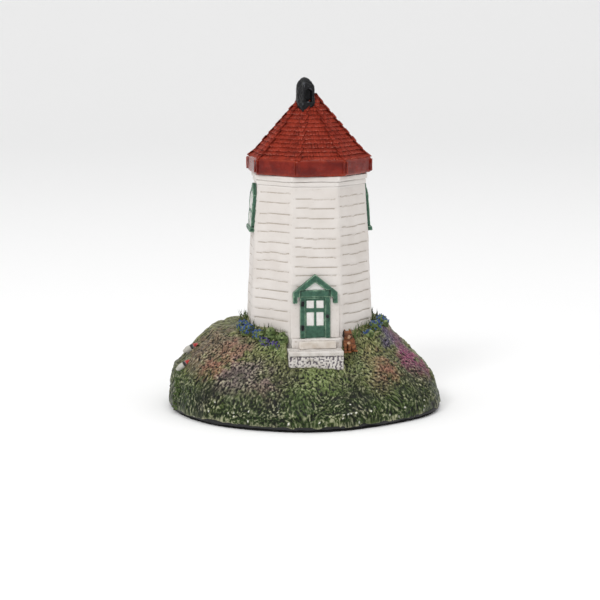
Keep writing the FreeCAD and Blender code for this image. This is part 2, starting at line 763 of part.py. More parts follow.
def stair_room(doc):
    """Open space above the landing and the steps, kept clear of the mound."""
    over_landing = box(doc, "room_landing", "2 * Dim.landing_half", "Dim.landing_front - 15",
                       "30", "-Dim.landing_half", "-Dim.landing_front", "Dim.landing_foot")
    over_steps = box(doc, "room_steps", "2 * Dim.lower_half", "Dim.lower_front - 15",
                     "30", "Dim.lower_shift - Dim.lower_half", "-Dim.lower_front",
                     "Dim.tread_height - Dim.nosing_height")
    return [over_landing, over_steps]


# ---- things on the mound -------------------------------------------------------------------

def ground_at(shape, x, y):
    """Height of the mound's surface above a point."""
    line = Part.makeLine(FreeCAD.Vector(x, y, 0), FreeCAD.Vector(x, y, 100))
    return shape.common(line).BoundBox.ZMax


def egg(doc, name, sizes, centre, turn=0.0):
    """Ellipsoid from its half length, half width and half height."""
    item = doc.addObject("Part::Ellipsoid", name)
    item.Radius1 = sizes[2]
    item.Radius2 = sizes[0]
    item.Radius3 = sizes[1]
    spin = FreeCAD.Rotation(FreeCAD.Vector(0, 0, 1), turn)
    item.Placement = FreeCAD.Placement(FreeCAD.Vector(*centre), spin)
    return item


def cat_parts(doc, unit):
    """Solids of a seated cat facing -Y, in parts of its height."""
    parts = [
        egg(doc, "cat_body", (0.26 * unit, 0.30 * unit, 0.37 * unit),
            (0.06 * unit, 0.10 * unit, 0.33 * unit)),
        egg(doc, "cat_head", (0.21 * unit, 0.19 * unit, 0.185 * unit),
            (-0.05 * unit, -0.10 * unit, 0.735 * unit)),
        egg(doc, "cat_muzzle", (0.09 * unit, 0.09 * unit, 0.07 * unit),
            (-0.05 * unit, -0.26 * unit, 0.69 * unit)),
        egg(doc, "cat_haunch", (0.17 * unit, 0.24 * unit, 0.19 * unit),
            (0.20 * unit, 0.04 * unit, 0.16 * unit)),
        egg(doc, "cat_chest", (0.17 * unit, 0.15 * unit, 0.24 * unit),
            (-0.04 * unit, -0.10 * unit, 0.42 * unit)),
    ]
    for tag, x in (("left", -0.14), ("right", 0.04)):
        leg = doc.addObject("Part::Cylinder", "cat_leg_" + tag)
        leg.Radius = 0.065 * unit
        leg.Height = 0.42 * unit
        leg.Placement.Base = FreeCAD.Vector(x * unit, -0.22 * unit, -0.02 * unit)
        paw = egg(doc, "cat_paw_" + tag, (0.08 * unit, 0.11 * unit, 0.055 * unit),
                  (x * unit, -0.26 * unit, 0.03 * unit))
        ear = doc.addObject("Part::Cone", "cat_ear_" + tag)
        ear.Radius1 = 0.085 * unit
        ear.Radius2 = 0.02 * unit
        ear.Height = 0.17 * unit
        ear_x = -0.17 if tag == "left" else 0.07
        ear.Placement.Base = FreeCAD.Vector(ear_x * unit, -0.09 * unit, 0.83 * unit)
        parts += [leg, paw, ear]
    tail = egg(doc, "cat_tail", (0.07 * unit, 0.20 * unit, 0.06 * unit),
               (0.28 * unit, -0.16 * unit, 0.07 * unit), 25.0)
    return parts + [tail]


def seated_cat(doc, sheet, mound):
    x = number(sheet, "cat_x")
    y = number(sheet, "cat_y")
    whole = fuse(doc, "cat_whole", cat_parts(doc, number(sheet, "cat_height")))
    whole.Placement.Base = FreeCAD.Vector(x, y, ground_at(mound.Shape, x, y) - 0.35)
    return cut(doc, "cat", whole, [mound])


def buoy(doc, sheet, name, x, y, lift, turn, mound):
    """Spindle float lying on the slope, its axis raised towards the tower."""
    body = body_of(doc, name + "_float")
    half = "Dim.buoy_length / 2"
    wide = "Dim.buoy_radius"
    points = [("0", "-" + half), (wide + " * 0.42", "-" + half), (wide, "-%s * 0.45" % half),
              (wide, half + " * 0.35"), (wide + " * 0.55", half + " * 0.9"),
              (wide + " * 0.3", half), ("0", half)]
    sketch = outline(body, name + "_profile", points, "XZ_Plane")
    turned = body.newObject("PartDesign::Revolution", name + "_turned")
    turned.Profile = sketch
    turned.ReferenceAxis = (sketch, ["V_Axis"])
    turned.Angle = 360
    doc.recompute()
    place_x = number(sheet, x)
    place_y = number(sheet, y)
    height = ground_at(mound.Shape, place_x, place_y) + lift * number(sheet, "buoy_radius")
    spin = FreeCAD.Rotation(FreeCAD.Vector(0, 0, 1), turn[0]).multiply(
        FreeCAD.Rotation(FreeCAD.Vector(0, 1, 0), turn[1]))
    body.Placement = FreeCAD.Placement(FreeCAD.Vector(place_x, place_y, height), spin)
    return cut(doc, name, body, [mound])


def clump(doc, name, tufts, mound, keep_off):
    """Low leafy clump: overlapping tufts standing on the mound."""
    eggs = []
    for index, (x, y, wide, tall) in enumerate(tufts):
        low = ground_at(mound.Shape, x, y)
        eggs.append(egg(doc, "%s_%d" % (name, index), (wide, wide * 0.85, tall), (x, y, low)))
    clear = cut(doc, name + "_clear", fuse(doc, name + "_whole", eggs), keep_off)
    return cut(doc, name, clear, [mound])


def blades(doc, name, spots, mound, keep_off):
    """Tuft of upright pointed leaves."""
    leaves = []
    for index, (x, y, tall, tilt) in enumerate(spots):
        leaf = doc.addObject("Part::Cone", "%s_%d" % (name, index))
        leaf.Radius1 = 0.55
        leaf.Radius2 = 0.12
        leaf.Height = tall + 1.0
        low = ground_at(mound.Shape, x, y) - 1.0
        lean = FreeCAD.Rotation(FreeCAD.Vector(0, 1, 0), tilt)
        leaf.Placement = FreeCAD.Placement(FreeCAD.Vector(x, y, low), lean)
        leaves.append(leaf)
    clear = cut(doc, name + "_clear", fuse(doc, name + "_whole", leaves), keep_off)
    return cut(doc, name, clear, [mound])


def plants(doc, mound, keep_off):
    """Flower clumps, shrubs and grass around the tower's foot."""
    return [
        clump(doc, "blue_flowers_left", BLUE_LEFT, mound, keep_off),
        clump(doc, "purple_flowers_left", PURPLE_LEFT, mound, keep_off),
        clump(doc, "door_shrubs", SHRUBS, mound, keep_off),
        clump(doc, "blue_flowers_right", BLUE_RIGHT, mound, keep_off),
        blades(doc, "grass_blades", GRASS, mound, keep_off),
    ]


# Tufts as x, y, half width and height over the ground.
BLUE_LEFT = ((-22.6, -12.2, 2.6, 2.6), (-19.2, -16.6, 2.4, 2.2), (-23.8, -8.4, 2.2, 2.4))
PURPLE_LEFT = ((-17.6, -20.4, 1.9, 1.8), (-14.6, -22.6, 1.7, 1.8))
SHRUBS = ((-15.2, -18.5, 2.0, 3.2), (-11.6, -20.9, 1.9, 3.0))
BLUE_RIGHT = ((21.5, -12.6, 2.4, 2.2), (24.6, -7.6, 2.3, 2.8), (18.6, -17.2, 1.8, 1.6))
GRASS = ((12.0, -20.4, 3.6, -8.0), (13.3, -19.6, 4.2, 6.0), (14.5, -18.9, 3.0, 16.0))


# ---- whole object --------------------------------------------------------------------------

def build(doc, sheet):
    """All the pieces, in the order they rest on each other."""
    left, left_seats = window(doc, -1)
    right, right_seats = window(doc, 1)
    hood = door_hood(doc)
    door_seat = on_door_wall(slab(doc, "door_seat_block", [
        ("-Dim.casing_half", "-4"), ("Dim.casing_half", "-4"),
        ("Dim.casing_half", "Dim.hood_eave - 0.9"), ("0", "Dim.hood_peak"),
        ("-Dim.casing_half", "Dim.hood_eave - 0.9")], "4 * Dim.hood_thickness"))
    seats = left_seats + right_seats + [door_seat]
    tower_body = tower(doc, seats)
    boards = corner_boards(doc, tower_body, seats)
    bed = band(doc, "bed_moulding", "Dim.bed_radius", "Dim.bed_height", "Dim.neck_height")
    cornice = band(doc, "tower_cornice", "Dim.cornice_radius", "Dim.cornice_height", "Dim.bed_top")
    roof_band = fascia(doc)
    straps = fascia_straps(doc)
    roof_shell = roof(doc)
    cowl = vent(doc, roof_shell)
    door_pieces = door_leaf(doc) + [door_frame(doc), door_casing(doc), door_hinges(doc),
                                    door_knob(doc)]
    porch = landing(doc, tower_body, boards)
    upper, lower = steps(doc)
    doc.recompute()
    layers = base_layers(doc, sheet)
    blank = mound_blank(doc, sheet)
    mound = cut(doc, "mound", blank,
                [tower_body, boards, porch, lower, upper] + stair_room(doc))
    doc.recompute()
    standing = [seated_cat(doc, sheet, mound)]
    standing.append(buoy(doc, sheet, "upper_buoy", "upper_buoy_x", "upper_buoy_y", 0.75,
                         (-8.0, 62.0), mound))
    standing.append(buoy(doc, sheet, "lower_buoy", "lower_buoy_x", "lower_buoy_y", 0.75,
                         (-12.0, 55.0), mound))
    standing += plants(doc, mound, [fuse(doc, "building", [tower_body, boards, porch])])
    doc.recompute()
    return (layers + [mound, tower_body, boards, bed, cornice, roof_band, straps, roof_shell, cowl]
            + left + right + door_pieces + hood + [porch, upper, lower] + standing)


def check(doc, pieces):
    """Stop when any object failed or any piece is not a sound solid."""
    broken = [item.Name for item in doc.Objects
              if "Invalid" in item.State or "Error" in item.State]
    if broken:
        raise RuntimeError("failed objects: " + ", ".join(broken))
    for piece in pieces:
        if piece.Shape.isNull() or not piece.Shape.isValid() or not piece.Shape.Solids:
            raise RuntimeError("bad shape: " + piece.Name)


def main():
    doc = FreeCAD.newDocument("souvenir_lighthouse")
    sheet = write_sheet(doc)
    pieces = build(doc, sheet)
    check(doc, pieces)
    os.makedirs("parts", exist_ok=True)
    for piece in pieces:
        piece.Label = piece.Name
        piece.Shape.exportStep("parts/%s.step" % piece.Name)
        print(piece.Name, len(piece.Shape.Solids), round(piece.Shape.Volume, 1))


main()
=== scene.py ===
import math

import bpy
import numpy as np
from mathutils import Matrix, Vector


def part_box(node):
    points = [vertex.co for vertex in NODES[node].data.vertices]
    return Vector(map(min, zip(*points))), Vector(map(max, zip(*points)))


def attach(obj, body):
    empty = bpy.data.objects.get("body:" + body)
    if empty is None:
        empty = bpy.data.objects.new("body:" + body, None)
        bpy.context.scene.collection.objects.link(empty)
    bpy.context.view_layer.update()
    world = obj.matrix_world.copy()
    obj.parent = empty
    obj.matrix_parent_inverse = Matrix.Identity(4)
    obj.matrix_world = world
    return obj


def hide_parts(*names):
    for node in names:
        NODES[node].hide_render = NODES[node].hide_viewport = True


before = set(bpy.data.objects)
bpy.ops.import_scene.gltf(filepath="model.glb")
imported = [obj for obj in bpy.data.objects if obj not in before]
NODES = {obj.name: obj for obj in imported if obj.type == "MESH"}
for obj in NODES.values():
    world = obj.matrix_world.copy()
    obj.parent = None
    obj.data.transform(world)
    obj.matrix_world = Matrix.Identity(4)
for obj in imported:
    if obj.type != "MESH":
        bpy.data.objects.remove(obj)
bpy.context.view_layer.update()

# Hand-painted cast souvenir: a clapboard lighthouse on a planted mound. Metres throughout,
# except inside the relief functions, which work in millimetres and say so.

MM = 0.001
SCENE = bpy.context.scene
HALF_SIDE = math.radians(22.5)
ONE_SIDE = math.radians(45.0)
CORNER = math.cos(HALF_SIDE)
ROOF_TURN = math.radians(5.0)


# ---- small helpers -------------------------------------------------------------------------

def linear(code):
    """sRGB hex to linear colour."""
    parts = [int(code[i:i + 2], 16) / 255 for i in (1, 3, 5)]
    return tuple(p / 12.92 if p <= 0.04045 else ((p + 0.055) / 1.055) ** 2.4 for p in parts) + (1.0,)


def add(tree, kind, inputs=None, **settings):
    """One node with its settings; each input takes a value or another node's socket."""
    node = tree.nodes.new(kind)
    for name, value in settings.items():
        setattr(node, name, value)
    for name, value in (inputs or {}).items():
        if isinstance(value, bpy.types.NodeSocket):
            tree.links.new(value, node.inputs[name])
        elif isinstance(value, str):
            node.inputs[name].default_value = linear(value)
        else:
            node.inputs[name].default_value = value
    return node


def smoothstep(low, high, value):
    t = np.clip((value - low) / (high - low), 0, 1)
    return t * t * (3 - 2 * t)


def noise3(points, size, seed=0):
    """Smooth random field, -1 to 1, whose features are about size across (numpy, n x 3)."""
    p = points / size
    cell = np.floor(p).astype(np.int64)
    f = p - cell
    u = f * f * (3 - 2 * f)
    total = np.zeros(len(p))
    for dx in (0, 1):
        for dy in (0, 1):
            for dz in (0, 1):
                h = ((cell[:, 0] + dx) * 73856093) ^ ((cell[:, 1] + dy) * 19349663)
                h = (h ^ ((cell[:, 2] + dz) * 83492791) ^ (seed * 40503)) & 0xFFFFFFFF
                h = ((h ^ (h >> 15)) * 2246822519) & 0xFFFFFFFF
                h = ((h ^ (h >> 13)) * 3266489917) & 0xFFFFFFFF
                h = (h ^ (h >> 16)) & 0xFFFFFFFF
                weight = (u[:, 0] if dx else 1 - u[:, 0]) * (u[:, 1] if dy else 1 - u[:, 1])
                weight = weight * (u[:, 2] if dz else 1 - u[:, 2])
                total += weight * (h / 2147483648.0 - 1.0)
    return total


def coordinates(mesh):
    co = np.zeros(len(mesh.vertices) * 3)
    mesh.vertices.foreach_get("co", co)
    return co.reshape(-1, 3)


def normals(mesh):
    no = np.zeros(len(mesh.vertices) * 3)
    mesh.vertices.foreach_get("normal", no)
    return no.reshape(-1, 3)


def set_coordinates(mesh, co):
    mesh.vertices.foreach_set("co", np.ascontiguousarray(co, dtype=np.float32).ravel())
    mesh.update()


def averaged(mesh, values, rounds):
    """Values (n or n x 3) averaged over neighbouring vertices, several times."""
    edges = np.zeros(len(mesh.edges) * 2, dtype=np.int64)
    mesh.edges.foreach_get("vertices", edges)
    a, b = edges.reshape(-1, 2).T
    size = len(mesh.vertices)
    count = np.maximum(np.bincount(a, minlength=size) + np.bincount(b, minlength=size), 1)
    columns = values.reshape(len(values), -1).copy()
    for _ in range(rounds):
        for k in range(columns.shape[1]):
            col = columns[:, k]
            total = np.bincount(a, col[b], len(col)) + np.bincount(b, col[a], len(col))
            columns[:, k] = 0.5 * col + 0.5 * total / count
    return columns.reshape(values.shape)


def store(mesh, name, values):
    """Attribute on the vertices: a float, a vector or a colour."""
    kind = "FLOAT" if values.ndim == 1 else "FLOAT_COLOR" if values.shape[1] == 4 else "FLOAT_VECTOR"
    key = {"FLOAT": "value", "FLOAT_COLOR": "color", "FLOAT_VECTOR": "vector"}[kind]
    layer = mesh.attributes.get(name) or mesh.attributes.new(name, kind, "POINT")
    layer.data.foreach_set(key, np.ascontiguousarray(values, dtype=np.float32).ravel())


def store_relief(mesh, depth, rounds=6):
    """Relief 0 (hollow) to 1 (edge), 0.5 on the flat: how far each point stands out of its
    smoothed surroundings, with depth (metres) as full scale."""
    co = coordinates(mesh)
    around = averaged(mesh, co, rounds)
    out = np.einsum("ij,ij->i", co - around, normals(mesh))
    store(mesh, "relief", np.clip(0.5 + 0.5 * out / depth, 0, 1))


def new_object(name, mesh):
    thing = bpy.data.objects.new(name, mesh)
    SCENE.collection.objects.link(thing)
    return thing


def settled(thing, name):
    """The object's evaluated mesh as a new plain object; the old one goes."""
    graph = bpy.context.evaluated_depsgraph_get()
    mesh = bpy.data.meshes.new_from_object(thing.evaluated_get(graph))
    bpy.data.objects.remove(thing)
    mesh.name = name
    return new_object(name, mesh)


def shade_smooth(mesh):
    mesh.polygons.foreach_set("use_smooth", np.ones(len(mesh.polygons), dtype=bool))
    mesh.update()


def cast_copy(node, name, voxel, rounds=2):
    """Copy of a CAD node with its crisp edges worn soft, as a mould and paint leave them."""
    mesh = NODES[node].data.copy()
    mesh.materials.clear()
    thing = new_object(name + "_raw", mesh)
    weld = thing.modifiers.new("weld", "WELD")
    weld.merge_threshold = 0.002 * MM
    remesh = thing.modifiers.new("remesh", "REMESH")
    remesh.mode = "VOXEL"
    remesh.voxel_size = voxel * MM
    remesh.use_smooth_shade = True
    thing = settled(thing, name)
    co = coordinates(thing.data)
    if rounds:
        set_coordinates(thing.data, averaged(thing.data, co, rounds))
    shade_smooth(thing.data)
    return thing


def roughen(mesh, layers):
    """Push the surface in and out by noise: (size mm, depth mm, seed) layers."""
    co = coordinates(mesh)
    push = sum(depth * noise3(co / MM, size, seed) for size, depth, seed in layers)
    set_coordinates(mesh, co + normals(mesh) * push[:, None] * MM)


def finish(thing, material, slot, *replaced):
    """Give the piece its paint and hang it on the one rigid body."""
    thing.data.materials.clear()
    thing.data.materials.append(material)
    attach(thing, "root")
    if replaced:
        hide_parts(*replaced)
    return thing


# ---- paints --------------------------------------------------------------------------------

def paint(name, base, shade, wash, tips, rough, coat=0.0, patch=5.0, grain=0.4, depth=0.05,
          wash_at=(0.47, 0.30), tips_at=(0.58, 0.82), tips_share=0.6, tint=None, strands=None,
          specular=0.3, bite=0.24, detail=2.0):
    """Acrylic paint on cast resin: mottled base colour, thin dark wash settled in the hollows,
    a nearly dry brush dragged over the edges, fine brushed grain. Sizes in millimetres.
    tint and strands name attributes: a painted colour that stands in for base, and the
    direction the grain is combed."""
    mat = bpy.data.materials.new(name)
    mat.use_nodes = True
    tree = mat.node_tree
    tree.nodes.clear()
    coords = add(tree, "ShaderNodeTexCoord").outputs["Object"]
    relief = add(tree, "ShaderNodeAttribute", attribute_name="relief").outputs["Fac"]
    mottle = add(tree, "ShaderNodeTexNoise", {"Vector": coords, "Scale": 1000 / patch, "Detail": 4.0})
    grained = coords
    if strands:
        grained = add(tree, "ShaderNodeAttribute", attribute_name=strands).outputs["Vector"]
    fine = add(tree, "ShaderNodeTexNoise", {
        "Vector": grained, "Scale": 1000 / grain, "Detail": detail, "Roughness": 0.6})
    height = add(tree, "ShaderNodeMath", {0: fine.outputs["Fac"], 1: bite, 2: relief},
                 operation="MULTIPLY_ADD").outputs[0]
    height = add(tree, "ShaderNodeMath", {0: height, 1: bite / 2}, operation="SUBTRACT").outputs[0]
    spread = add(tree, "ShaderNodeMapRange", {0: mottle.outputs["Fac"], 1: 0.36, 2: 0.64}).outputs[0]
    if tint:
        first = add(tree, "ShaderNodeAttribute", attribute_name=tint).outputs["Color"]
        second = add(tree, "ShaderNodeMix", {0: 0.45, 6: first, 7: shade},
                     data_type="RGBA", blend_type="MULTIPLY").outputs[2]
    else:
        first, second = base, shade
    colour = add(tree, "ShaderNodeMix", {0: spread, 6: first, 7: second}, data_type="RGBA").outputs[2]
    hollow = add(tree, "ShaderNodeMapRange", {0: height, 1: wash_at[1], 2: wash_at[0], 3: 1.0, 4: 0.0})
    colour = add(tree, "ShaderNodeMix", {0: hollow.outputs[0], 6: colour, 7: wash},
                 data_type="RGBA").outputs[2]
    broad = add(tree, "ShaderNodeTexNoise", {"Vector": coords, "Scale": 400 / patch, "Detail": 2.0})
    share = add(tree, "ShaderNodeMapRange", {
        0: broad.outputs["Fac"], 1: 0.38, 2: 0.62, 3: 0.3 * tips_share, 4: tips_share}).outputs[0]
    raised = add(tree, "ShaderNodeMapRange", {
        0: height, 1: tips_at[0], 2: tips_at[1], 3: 0.0, 4: share})
    if tint:
        pale = add(tree, "ShaderNodeMix", {0: 0.5, 6: first, 7: tips}, data_type="RGBA").outputs[2]
    else:
        pale = tips
    colour = add(tree, "ShaderNodeMix", {0: raised.outputs[0], 6: colour, 7: pale},
                 data_type="RGBA").outputs[2]
    bump = add(tree, "ShaderNodeBump", {
        "Height": fine.outputs["Fac"], "Strength": 0.7, "Distance": depth * MM})
    shine = add(tree, "ShaderNodeMapRange", {
        0: mottle.outputs["Fac"], 1: 0.3, 2: 0.7, 3: rough - 0.06, 4: rough + 0.06})
    shader = add(tree, "ShaderNodeBsdfPrincipled", {
        "Base Color": colour, "Roughness": shine.outputs[0], "Coat Weight": coat,
        "Coat Roughness": 0.12, "IOR": 1.47, "Specular IOR Level": specular,
        "Normal": bump.outputs["Normal"]})
    add(tree, "ShaderNodeOutputMaterial", {"Surface": shader.outputs["BSDF"]})
    return mat


# Off-white acrylic over carved boards, with thinned beige settled in the grooves.
WALL_PAINT = paint("off_white_acrylic_washed", "#DBD5D0", "#D3CCC6", "#ADA296", "#E4E0DC", 0.62,
                   patch=9.0, grain=0.5, depth=0.03)
# The same white on the doorstep, dirtied with a grey-tan wash.
STONE_PAINT = paint("stone_white_acrylic_washed", "#D8D3CE", "#C6BFB8", "#6C666C", "#E6E2DE", 0.66,
                    patch=2.4, grain=0.35, wash_at=(0.49, 0.34), bite=0.5)
# Tan wash worn into the tread of the upper step.
TREAD_PAINT = paint("stone_tread_tan_wash", "#D0C8BF", "#BFB4A8", "#94887A", "#E0DAD3", 0.66,
                    patch=2.8, grain=0.4, wash_at=(0.42, 0.2))
# Brick-red matt acrylic, dry-brushed so the shingle edges catch a lighter red.
ROOF_PAINT = paint("brick_red_acrylic_dry_brushed", "#922F1C", "#762112", "#2E0B06", "#D48C7C", 0.72,
                   patch=2.5, grain=0.30, depth=0.10, wash_at=(0.44, 0.2), tips_at=(0.60, 0.80),
                   tips_share=0.7, specular=0.15, bite=1.1)
# Deep red under clear gloss varnish: wet-looking, with orange painted on the edges as a painted highlight
# standing in for lamp glints.
GLOSS_RED_PAINTED_GLINT = paint("red_enamel_painted_edge_glint", "#5E0D05", "#7C1C0A", "#280402", "#B0421F", 0.26, coat=0.35,
                  patch=4.0, grain=0.9, depth=0.05, tips_at=(0.62, 0.9), tips_share=0.55, specular=0.12)
# Black acrylic dry-brushed with grey.
BLACK_PAINT = paint("black_acrylic_dry_brushed", "#18181B", "#101012", "#050506", "#8A8E96", 0.42,
                    patch=1.2, grain=0.3, depth=0.10, tips_at=(0.60, 0.95), tips_share=0.8,
                    specular=0.2, bite=0.5)
# Flat black brushed round the foot, with hardly any highlight.
EDGE_BLACK = paint("black_edge_paint", "#1B1B1C", "#121213", "#060607", "#3A3A3B", 0.6,
                   patch=4.0, grain=0.5)
# Green acrylic put on by brush: streaky, paler where the bristles dragged.
GREEN_PAINT = paint("green_acrylic_brushed", "#3C6350", "#2C4E3E", "#15241C", "#8FAE93", 0.5, coat=0.1,
                    patch=1.2, grain=0.3, wash_at=(0.46, 0.26), tips_at=(0.58, 0.84),
                    tips_share=0.75, bite=0.5)
# White panes painted by hand inside the green bars.
PANE_PAINT = paint("pane_white_acrylic", "#E6E4E1", "#DAD7D3", "#9E9890", "#F2F0EE", 0.5,
                   patch=1.5, grain=0.3)
# Fur markings painted thin over fine scratched fur.
CAT_PAINT = paint("ginger_acrylic_furred", None, "#8A4F2A", "#3B1F12", "#D09A68", 0.6,
                  patch=1.2, grain=0.18, depth=0.08, tint="coat", wash_at=(0.44, 0.25),
                  tips_at=(0.6, 0.9), tips_share=0.4)
# Bands of enamel with a grey wash in the hollows.
BUOY_PAINT = paint("buoy_enamel", None, "#D3CFC8", "#6D675E", "#F4F2EF", 0.45, coat=0.2,
                   patch=1.4, grain=0.25, tint="bands")
# Leaf green with near-black gaps and pale tips.
LEAF_PAINT = paint("leaf_green_acrylic", "#516336", "#38471F", "#12180A", "#A5B27C", 0.6,
                   patch=0.9, grain=0.3, wash_at=(0.48, 0.3), tips_at=(0.55, 0.85), bite=0.6)
# Petals touched in with the tip of a brush.
BLUE_PAINT = paint("blue_acrylic_dabs", "#4A689C", "#33457C", "#1A2244", "#8FA9CC", 0.55,
                   patch=0.9, grain=0.3)
PURPLE_PAINT = paint("purple_acrylic_dabs", "#62568E", "#453A78", "#221A40", "#968CB8", 0.55,
                     patch=0.9, grain=0.3)
# Flocked felt, glued under the foot.
FELT = paint("black_felt", "#151515", "#0E0E0E", "#050505", "#2A2A2A", 0.95,
             patch=2.0, grain=0.25, depth=0.1)


# ---- geometry node trees -------------------------------------------------------------------

def node_tree(name, sizes):
    """Geometry tree with named size inputs; returns the tree and its input node."""
    tree = bpy.data.node_groups.new(name, "GeometryNodeTree")
    tree.interface.new_socket("Geometry", in_out="INPUT", socket_type="NodeSocketGeometry")
    for label, kind in sizes:
        tree.interface.new_socket(label, in_out="INPUT", socket_type=kind)
    tree.interface.new_socket("Geometry", in_out="OUTPUT", socket_type="NodeSocketGeometry")
    return tree, tree.nodes.new("NodeGroupInput")


def grown(name, mesh, tree, values):
    """Object made by running the tree over a mesh, settled to a plain mesh."""
    thing = new_object(name + "_seed", mesh)
    modifier = thing.modifiers.new("grow", "NODES")
    modifier.node_group = tree
    sockets = {item.name: item.identifier for item in tree.interface.items_tree
               if item.item_type == "SOCKET" and item.in_out == "INPUT"}
    for label, value in values.items():
        modifier[sockets[label]] = value
    return settled(thing, name)


def close_tree(tree, geometry, material):
    """Every tree ends the same way: real geometry, shaded flat, in its paint."""
    real = add(tree, "GeometryNodeRealizeInstances", {"Geometry": geometry})
    flat = add(tree, "GeometryNodeSetShadeSmooth", {
        "Geometry": real.outputs[0], "Shade Smooth": False})
    painted = add(tree, "GeometryNodeSetMaterial", {
        "Geometry": flat.outputs[0], "Material": material})
    add(tree, "NodeGroupOutput", {"Geometry": painted.outputs[0]})
    return tree


def shingle_tree():
    """Thin wedges laid end to end along each course line, each a little askew."""
    tree, given = node_tree("shingle_courses", (
        ("Width", "NodeSocketFloat"), ("Length", "NodeSocketFloat"), ("Thickness", "NodeSocketFloat"),
        ("Tilt", "NodeSocketFloat"), ("Seed", "NodeSocketInt")))
    size = given.outputs
    line = add(tree, "GeometryNodeMeshToCurve", {"Mesh": size["Geometry"]})
    points = add(tree, "GeometryNodeResampleCurve", {
        "Curve": line.outputs[0], "Length": size["Width"]}, mode="LENGTH")
    along = add(tree, "GeometryNodeInputTangent").outputs[0]
    out = add(tree, "GeometryNodeInputNamedAttribute", data_type="FLOAT_VECTOR")
    out.inputs["Name"].default_value = "outward"
    tangent = add(tree, "GeometryNodeCaptureAttribute", {"Geometry": points.outputs[0]}, domain="POINT")
    tangent.capture_items.new("VECTOR", "along")
    tree.links.new(along, tangent.inputs["along"])
    cube = add(tree, "GeometryNodeMeshCube")
    wide = add(tree, "ShaderNodeMath", {0: size["Width"], 1: 0.985}, operation="MULTIPLY").outputs[0]
    dims = add(tree, "ShaderNodeCombineXYZ", {
        "X": wide, "Y": size["Length"], "Z": size["Thickness"]}).outputs[0]
    tree.links.new(dims, cube.inputs["Size"])
    place = add(tree, "GeometryNodeInputPosition").outputs[0]
    uphill = add(tree, "ShaderNodeSeparateXYZ", {0: place}).outputs["Y"]
    share = add(tree, "ShaderNodeMath", {0: uphill, 1: size["Length"]}, operation="DIVIDE").outputs[0]
    worn = add(tree, "ShaderNodeMapRange", {0: share, 1: -0.5, 2: 0.5, 3: 0.62, 4: 0.25}).outputs[0]
    cube = add(tree, "GeometryNodeStoreNamedAttribute", {
        "Geometry": cube.outputs["Mesh"], "Value": worn}, domain="POINT", data_type="FLOAT")
    cube.inputs["Name"].default_value = "relief"
    faced = add(tree, "FunctionNodeAlignRotationToVector", {"Vector": out.outputs["Attribute"]}, axis="Z")
    laid = add(tree, "FunctionNodeAlignRotationToVector", {
        "Rotation": faced.outputs[0], "Vector": tangent.outputs["along"]}, axis="X", pivot_axis="Z")
    askew = add(tree, "FunctionNodeRandomValue", {
        0: (-0.05, -0.10, -0.03), 1: (0.05, 0.10, 0.03), "Seed": size["Seed"]},
        data_type="FLOAT_VECTOR")
    lean = add(tree, "ShaderNodeCombineXYZ", {"X": size["Tilt"]}).outputs[0]
    turn = add(tree, "ShaderNodeVectorMath", {0: askew.outputs[0], 1: lean}, operation="ADD").outputs[0]
    as_rotation = add(tree, "FunctionNodeEulerToRotation", {"Euler": turn}).outputs[0]
    final = add(tree, "FunctionNodeRotateRotation", {
        "Rotation": laid.outputs[0], "Rotate By": as_rotation}, rotation_space="LOCAL")
    big = add(tree, "FunctionNodeRandomValue", {
        0: (0.92, 0.90, 0.7), 1: (1.08, 1.10, 1.5), "Seed": size["Seed"]},
        data_type="FLOAT_VECTOR")
    tiles = add(tree, "GeometryNodeInstanceOnPoints", {
        "Points": tangent.outputs[0], "Instance": cube.outputs[0],
        "Rotation": final.outputs[0], "Scale": big.outputs[0]})
    return close_tree(tree, tiles.outputs[0], ROOF_PAINT)


